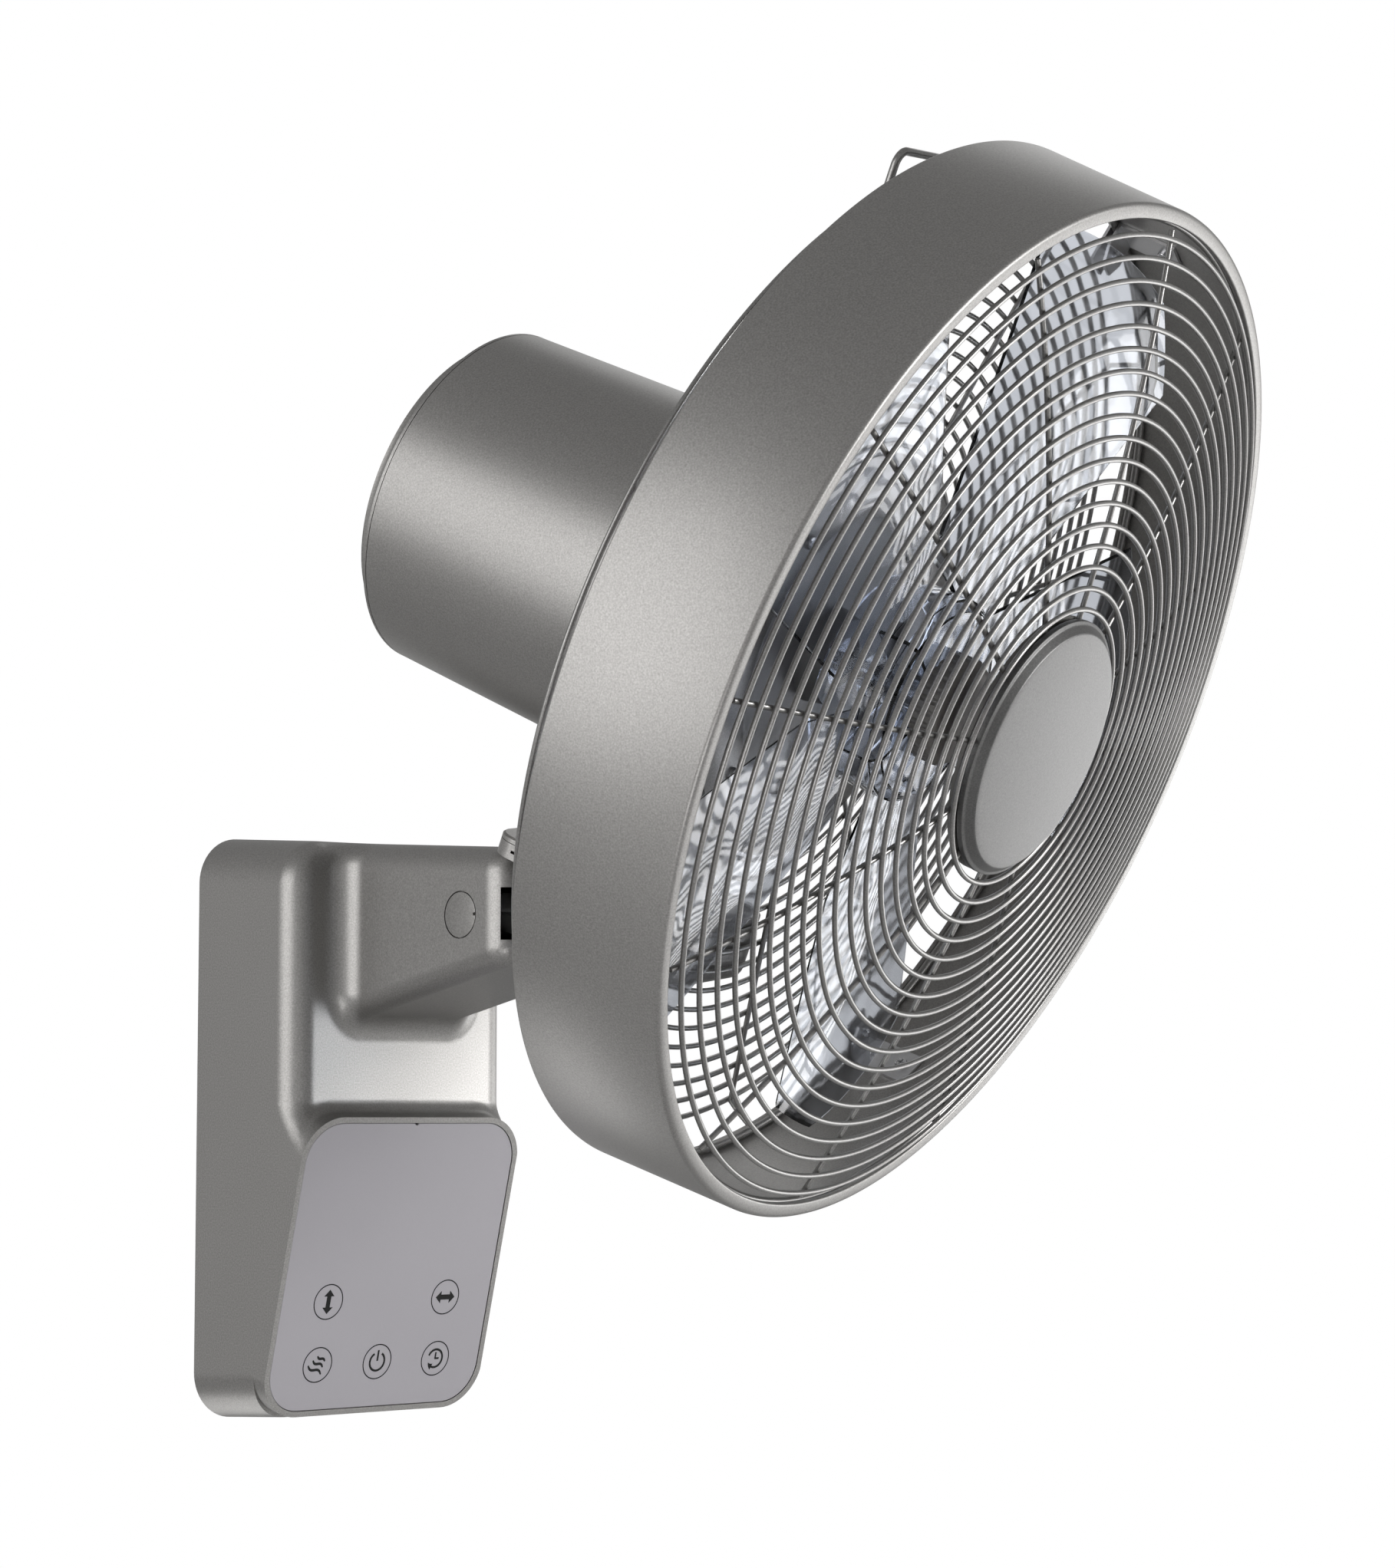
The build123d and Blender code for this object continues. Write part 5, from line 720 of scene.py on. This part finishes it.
class FAN_OT_neck(bpy.types.Operator):
    """Tilt knuckle, neck block with its cover and column, and the swing drive"""

    bl_idname = "wall_fan.neck"
    bl_label = "Neck"

    def execute(self, context):
        smooth_copy("tilt_knuckle", "cast_knuckle", "knuckle", "cast_alloy", "cast_alloy")
        smooth_copy("neck_block", "neck_case", "head", *HOUSING)
        smooth_copy("neck_cover", "neck_lid", "head", *HOUSING)
        smooth_copy("neck_column", "head_column", "head", *HOUSING)
        paint("nylon", "pivot_washers", "swing_washer", "swing_bush", "swing_gear", "swing_pinion")
        paint("turned_steel", "swing_circlip")
        paint("screw_zinc", "neck_screws", "swing_motor_screws", "column_screws")
        paint("motor_can", "swing_motor")
        return {"FINISHED"}


class FAN_OT_motor(bpy.types.Operator):
    """Long motor housing with its vented rear cap, and the fan motor inside"""

    bl_idname = "wall_fan.motor"
    bl_label = "Motor housing"

    def execute(self, context):
        smooth_copy("motor_housing", "motor_tube", "head", *HOUSING)
        smooth_copy("motor_rear_cap", "vented_rear_cap", "head", *HOUSING)
        smooth_copy("motor_front_plate", "front_plate", "head", "cast_alloy", "cast_alloy")
        paint("cast_alloy", "motor_rear_bell")
        paint("core_steel", "stator_core")
        paint("copper_wire", "stator_coils")
        paint("motor_can", "rotor")
        paint("turned_steel", "motor_shaft", "motor_bearings")
        paint("board", "driver_board")
        paint("screw_zinc", "motor_plate_screws", "bell_screws", "driver_screws", "rear_flange_screws")
        return {"FINISHED"}


# ---------------- drum and grilles

def drum_taper(sizes):
    """How much the drum's radius falls for each millimetre forward."""
    return (sizes.drum_radius_rear - sizes.drum_radius_front) / (sizes.drum_front - sizes.drum_rear)


class FAN_OT_drum(bpy.types.Operator):
    """Deep drum round the fan, with its flat lip, and the steel brackets inside it"""

    bl_idname = "wall_fan.drum"
    bl_label = "Drum"

    def execute(self, context):
        sizes = context.scene.wall_fan_sizes
        taper, rear, front, wall = drum_taper(sizes), sizes.drum_rear, sizes.drum_front, sizes.drum_wall
        outer_rear, outer_front, lip = sizes.drum_radius_rear, sizes.drum_radius_front, sizes.lip_radius
        inner, bead = outer_rear - wall, outer_rear - wall - BEAD_STEP
        section = rounded_profile((
            (outer_rear, rear, 0.8), (outer_front, front, 2.0), (lip, front, 0.8), (lip, front - LIP_THICKNESS, 0.5),
            (outer_front + LIP_THICKNESS * taper - wall, front - LIP_THICKNESS, 1.0),
            (inner - BEAD_DEPTH * taper, rear + BEAD_DEPTH, 0.3), (bead, rear + BEAD_DEPTH - BEAD_STEP, 0.3),
            (bead, rear, 0.4)))
        drum = mesh_piece("drum_skin", [turned(section, DRUM_STEPS)], angle=30.0)
        dress(drum, "head", "drum_satin", "drum_paint", "drum_band")
        paint("zinc", "band_brackets", "grille_clips")
        paint("screw_zinc", "band_screws")
        return {"FINISHED"}


def dome_place(sizes, radius):
    """Front grille's dome: a sphere through the drum's lip, dome_height high at its middle."""
    sphere = (sizes.dome_rim ** 2 + sizes.dome_height ** 2) / (2 * sizes.dome_height)
    return sizes.drum_front + sizes.dome_height - sphere + np.sqrt(sphere ** 2 - np.square(radius))


def hub_edge(sizes):
    """Radius of the front grille's hub plate: half a pitch within its innermost ring."""
    return sizes.ring_first - sizes.ring_pitch / 2


def front_wires(sizes):
    """Grids of the front grille: rings on the dome, the border wire under the lip, and spokes behind the rings."""
    wire, border = sizes.wire_radius, sizes.border_radius
    grids = []
    for k in range(sizes.ring_count):
        radius = sizes.ring_first + k * sizes.ring_pitch
        grids.append(wire_ring(radius, dome_place(sizes, radius), wire, FRONT_STEPS, FRONT_SIDES))
    edge = sizes.lip_radius + border - BORDER_SHOW
    behind_lip = sizes.drum_front - LIP_THICKNESS - TOUCH - border
    grids.append(wire_ring(edge, behind_lip, border, FRONT_STEPS, FRONT_BORDER_SIDES))
    radius = np.linspace(hub_edge(sizes) - 2 * wire, edge - border - wire - TOUCH, 60)
    behind_rings = dome_place(sizes, radius) - 2 * wire + FRONT_WELD
    for k in range(sizes.spoke_count):
        angle = sizes.spoke_start + 2 * math.pi * k / sizes.spoke_count
        grids.append(tube(radial_path(angle, radius, behind_rings), wire, FRONT_SIDES))
    return grids


def centre_cap(sizes):
    """Grids of the centre cap: a crowned disc with a sloping side and a foot, the same way back a skin further in,
    and three posts behind it."""
    foot = dome_place(sizes, hub_edge(sizes)) - sizes.wire_radius + CAP_SEAT
    face, ring, rim, skin = sizes.cap_face, sizes.cap_ring, sizes.cap_rim, CAP_SKIN
    side = rounded_profile((
        (0, rim, 0), (face, rim, 1.2), (ring - 1.5, foot + 2.6, 1.5), (ring, foot + 2.2, 0.3), (ring, foot, 0.2),
        (ring - skin, foot, 0.2), (face - skin, rim - skin, 0.5), (0, rim - skin, 0)))[ARC_STEPS:-ARC_STEPS]
    flat = np.linspace(0, face - 3.0, 16)
    front, back = (np.stack((flat, place + 0 * flat), -1) for place in (rim, rim - skin))
    profile = np.concatenate((front, side, back[::-1]))
    profile[:, 1] += sizes.cap_crown * np.maximum(0, 1 - (profile[:, 0] / face) ** 2)
    grids = [turned(profile, FRONT_STEPS, closed=False)]
    for turn in np.radians((0, 120, 240)):
        post = radial_path(turn, CAP_POST_CIRCLE, np.array((foot - CAP_POST_DEPTH, rim - CAP_POST_SINK)))
        grids.append(tube(post, CAP_POST_RADIUS, POST_SIDES))
    return grids


class FAN_OT_front_grille(bpy.types.Operator):
    """Domed front grille of rings on radial spokes, with its centre cap"""

    bl_idname = "wall_fan.front_grille"
    bl_label = "Front grille"

    def execute(self, context):
        sizes = context.scene.wall_fan_sizes
        grille = mesh_piece("front_grille_wires", front_wires(sizes), angle=60.0)
        dress(grille, "head", "wire_satin", "wire_coat", "front_grille")
        cap = mesh_piece("centre_cap_disc", centre_cap(sizes), angle=35.0)
        dress(cap, "head", "cap_satin", "cap_trim", "centre_cap")
        smooth_copy("grille_hub", "grille_hub_disc", "head", "hub_satin", "hub_plate")
        return {"FINISHED"}


def rear_wires(sizes):
    """Grids of the rear grille: rings in a shallow dish, the border wire in the drum, the sheet flange, and spokes
    before the rings that bend forward to the border wire."""
    wire, border = sizes.wire_radius, sizes.border_radius
    outermost = sizes.rear_first + (sizes.rear_count - 1) * sizes.rear_pitch
    edge_place = sizes.drum_rear + BEAD_DEPTH + border
    inside_drum = sizes.drum_radius_rear - (BEAD_DEPTH + border) * drum_taper(sizes) - sizes.drum_wall
    edge = inside_drum - border - REAR_GAP

    def dish(radius):
        """A shallow cone that comes forward towards its edge."""
        return DISH_PLACE + (radius - sizes.rear_first) / (outermost - sizes.rear_first) * DISH_DEPTH

    grids = []
    for k in range(sizes.rear_count):
        radius = sizes.rear_first + k * sizes.rear_pitch
        grids.append(wire_ring(radius, dish(radius), wire, REAR_STEPS, REAR_SIDES))
    grids.append(wire_ring(edge, edge_place, border, REAR_STEPS, REAR_BORDER_SIDES))
    flange = rounded_profile((
        (FLANGE_INNER, FLANGE_BACK, 0.2), (FLANGE_OUTER, FLANGE_BACK, 0.2), (FLANGE_OUTER, FLANGE_FRONT, 0.4),
        (FLANGE_INNER, FLANGE_FRONT, 0.4)), 3)
    grids.append(turned(flange, FLANGE_STEPS))
    radius = np.linspace(FLANGE_OUTER + TOUCH, edge - border - wire - TOUCH, 40)
    bend = np.clip((radius - (edge - BEND_START)) / BEND_RUN, 0, 1)
    rise = (edge_place - dish(edge) - 2 * wire) * bend ** 2 * (3 - 2 * bend)
    before_rings = dish(radius) + 2 * wire - REAR_WELD + rise
    for k in range(sizes.spoke_count):
        angle = sizes.spoke_start + 2 * math.pi * (k + 0.5) / sizes.spoke_count
        grids.append(tube(radial_path(angle, radius, before_rings), wire, REAR_SIDES))
    return grids


class FAN_OT_rear_grille(bpy.types.Operator):
    """Rear grille of rings on radial spokes, its sheet flange and the wire bail behind its top"""

    bl_idname = "wall_fan.rear_grille"
    bl_label = "Rear grille"

    def execute(self, context):
        grille = mesh_piece("rear_grille_wires", rear_wires(context.scene.wall_fan_sizes), angle=60.0)
        dress(grille, "head", "wire_satin", "wire_coat", "rear_grille")
        smooth_copy("rear_bail", "wire_bail", "head", "wire_satin", "wire_coat", angle=60.0)
        return {"FINISHED"}


class FAN_OT_blades(bpy.types.Operator):
    """Clear blade set with its hub, and the fluted spinner nut"""

    bl_idname = "wall_fan.blades"
    bl_label = "Blades"

    def execute(self, context):
        smooth_copy("blade_set", "clear_blades", "fan", "clear_plastic", "clear_blade", angle=30.0)
        smooth_copy("spinner_nut", "fluted_nut", "fan", "nut_grey", "nut_grey", angle=40.0)
        return {"FINISHED"}


# ---------------- stage, in metres, watts and degrees

# softboxes: name, place, target, width and height, power
SOFTBOXES = (
    ("left_softbox", (-1.9, -0.1, 0.38), (0.0, -0.25, 0.05), (1.6, 1.7), 19.8),
    ("front_softbox", (1.25, -1.75, 0.2), (0.0, -0.2, 0.05), (0.75, 0.7), 22.5),
    ("right_softbox", (2.0, -0.4, -0.5), (0.1, -0.35, 0.15), (1.4, 1.4), 17.0),
    ("top_softbox", (1.2, 0.4, 1.2), (0.05, -0.3, 0.2), (0.8, 0.8), 1.8),
    ("low_softbox", (-0.75, -1.0, -0.55), (0.0, -0.15, 0.05), (0.5, 0.4), 3.0),
    ("rear_softbox", (-0.05, 0.3, -0.42), (-0.06, -0.03, -0.12), (0.35, 0.12), 0.28),
)

# how much of the white surroundings a clear piece and a gloss see, beside the camera, which sees all of it
WHITE_THROUGH, WHITE_IN_GLOSS = 0.75, 0.3
# grey light of the world on the object: height, from 0 straight down to 1 straight up, and the level there
WORLD_LEVELS = ((0.25, 0.58), (0.75, 0.10))

FLOOR_HEIGHT = -0.62
FLOOR_HALF = 3.0
FLOOR_FORWARD = 1.0         # how far the floor's middle lies before the wall
FLOOR_GREY = 0.80
FLOOR_GLOW = 0.92           # share of plain white in what the camera sees of the floor

# the camera of the photograph, solved from its straight edges and its ellipses
CAMERA_PLACE = (-1.0674, -1.3324, 0.0021)
CAMERA_RISE, CAMERA_HEADING = 5.0, -44.5
SENSOR_HEIGHT = 36.0        # millimetres
FOCAL_PIXELS, IMAGE_HEIGHT = 5000.0, 2044.0


def softbox(name, place, target, size, power):
    """Rectangular lamp at a place, turned to a target."""
    lamp = bpy.data.lights.new(name, "AREA")
    lamp.shape = "RECTANGLE"
    lamp.size, lamp.size_y = size
    lamp.energy = power
    holder = new_object(name, lamp)
    holder.location = place
    holder.rotation_euler = (Vector(target) - Vector(place)).to_track_quat("-Z", "Y").to_euler()


def white_background():
    """World: grey light on the object, more of it from below, and white where the camera, a clear piece or a gloss
    sees it."""
    world = bpy.data.worlds.new("studio_white")
    world.use_nodes = True
    tree = world.node_tree
    tree.nodes.clear()
    output, path, soft, white, mix, ramp, split, place = (tree.nodes.new("ShaderNode" + kind) for kind in (
        "OutputWorld", "LightPath", "Background", "Background", "MixShader", "ValToRGB", "SeparateXYZ", "TexCoord"))
    through = math_node(tree, "MULTIPLY", path.outputs["Is Transmission Ray"], WHITE_THROUGH)
    in_gloss = math_node(tree, "MULTIPLY", path.outputs["Is Glossy Ray"], WHITE_IN_GLOSS)
    shown = math_node(tree, "MAXIMUM", math_node(tree, "MAXIMUM", path.outputs["Is Camera Ray"], through), in_gloss)
    for element, (height, level) in zip(ramp.color_ramp.elements, WORLD_LEVELS):
        element.position = height
        element.color = (level, level, level, 1)
    tree.links.new(place.outputs["Generated"], split.inputs[0])
    height = math_node(tree, "ADD", math_node(tree, "MULTIPLY", split.outputs["Z"], 0.5), 0.5)
    tree.links.new(height, ramp.inputs[0])
    tree.links.new(ramp.outputs[0], soft.inputs["Color"])
    white.inputs["Color"].default_value = (1.0, 1.0, 1.0, 1.0)
    tree.links.new(shown, mix.inputs[0])
    tree.links.new(soft.outputs[0], mix.inputs[1])
    tree.links.new(white.outputs[0], mix.inputs[2])
    tree.links.new(mix.outputs[0], output.inputs["Surface"])
    bpy.context.scene.world = world


def floor_white():
    """Pale matt floor that takes the object's shadow, and looks nearly white to the camera."""
    material = bpy.data.materials.new("floor_white")
    material.use_nodes = True
    tree = material.node_tree
    shader = tree.nodes["Principled BSDF"]
    shader.inputs["Base Color"].default_value = (FLOOR_GREY, FLOOR_GREY, FLOOR_GREY, 1.0)
    shader.inputs["Roughness"].default_value = 0.9
    glow, mix, path = (tree.nodes.new("ShaderNode" + kind) for kind in ("Emission", "MixShader", "LightPath"))
    tree.links.new(math_node(tree, "MULTIPLY", path.outputs["Is Camera Ray"], FLOOR_GLOW), mix.inputs[0])
    tree.links.new(shader.outputs[0], mix.inputs[1])
    tree.links.new(glow.outputs[0], mix.inputs[2])
    tree.links.new(mix.outputs[0], tree.nodes["Material Output"].inputs["Surface"])
    return material


def lay_floor():
    """Level square below the fan."""
    side = np.linspace(-FLOOR_HALF, FLOOR_HALF, 13)
    across, along = np.meshgrid(side, side, indexing="ij")
    points = np.stack((across, along - FLOOR_FORWARD, 0 * across + FLOOR_HEIGHT), -1)
    floor = mesh_piece("floor", [(points, False, False)])
    floor.data.materials.append(floor_white())


def photo_camera():
    """Camera of the photograph: a perspective view, a little upwards, from the fan's front left."""
    camera = bpy.data.cameras.new("photo_camera")
    camera.sensor_fit = "VERTICAL"
    camera.sensor_height = SENSOR_HEIGHT
    camera.lens = SENSOR_HEIGHT * FOCAL_PIXELS / IMAGE_HEIGHT
    camera.clip_start = 0.05
    holder = new_object("photo_camera", camera)
    holder.location = CAMERA_PLACE
    holder.rotation_euler = (math.radians(90.0 + CAMERA_RISE), 0.0, math.radians(CAMERA_HEADING))
    bpy.context.scene.camera = holder


class FAN_OT_stage(bpy.types.Operator):
    """Pale floor, soft studio light and the camera at the photograph's angle"""

    bl_idname = "wall_fan.stage"
    bl_label = "Stage"

    def execute(self, context):
        white_background()
        lay_floor()
        for lamp in SOFTBOXES:
            softbox(*lamp)
        photo_camera()
        context.scene.view_settings.view_transform = "Standard"
        return {"FINISHED"}


# ---------------- add-on

OPERATORS = (FAN_OT_stage, FAN_OT_bracket, FAN_OT_panel, FAN_OT_neck, FAN_OT_motor, FAN_OT_drum, FAN_OT_front_grille,
             FAN_OT_rear_grille, FAN_OT_blades)


class FAN_PT_sidebar(bpy.types.Panel):
    """Pieces, sizes and colours of the wall fan"""

    bl_idname = "FAN_PT_sidebar"
    bl_label = "Wall Fan"
    bl_space_type = "VIEW_3D"
    bl_region_type = "UI"
    bl_category = "Wall Fan"

    def draw(self, context):
        layout = self.layout
        for operator in OPERATORS:
            layout.operator(operator.bl_idname)
        for group in (context.scene.wall_fan_sizes, context.scene.wall_fan_finish):
            box = layout.box()
            for name in group.__annotations__:
                box.prop(group, name)


CLASSES = (FanSizes, FanFinish, *OPERATORS, FAN_PT_sidebar)


def register():
    for kind in CLASSES:
        bpy.utils.register_class(kind)
    bpy.types.Scene.wall_fan_sizes = bpy.props.PointerProperty(type=FanSizes)
    bpy.types.Scene.wall_fan_finish = bpy.props.PointerProperty(type=FanFinish)


def unregister():
    del bpy.types.Scene.wall_fan_finish
    del bpy.types.Scene.wall_fan_sizes
    for kind in reversed(CLASSES):
        bpy.utils.unregister_class(kind)


def main():
    register()
    for operator in OPERATORS:
        group, name = operator.bl_idname.split(".")
        getattr(getattr(bpy.ops, group), name)()
    bpy.context.view_layer.update()


if __name__ == "__main__":
    main()
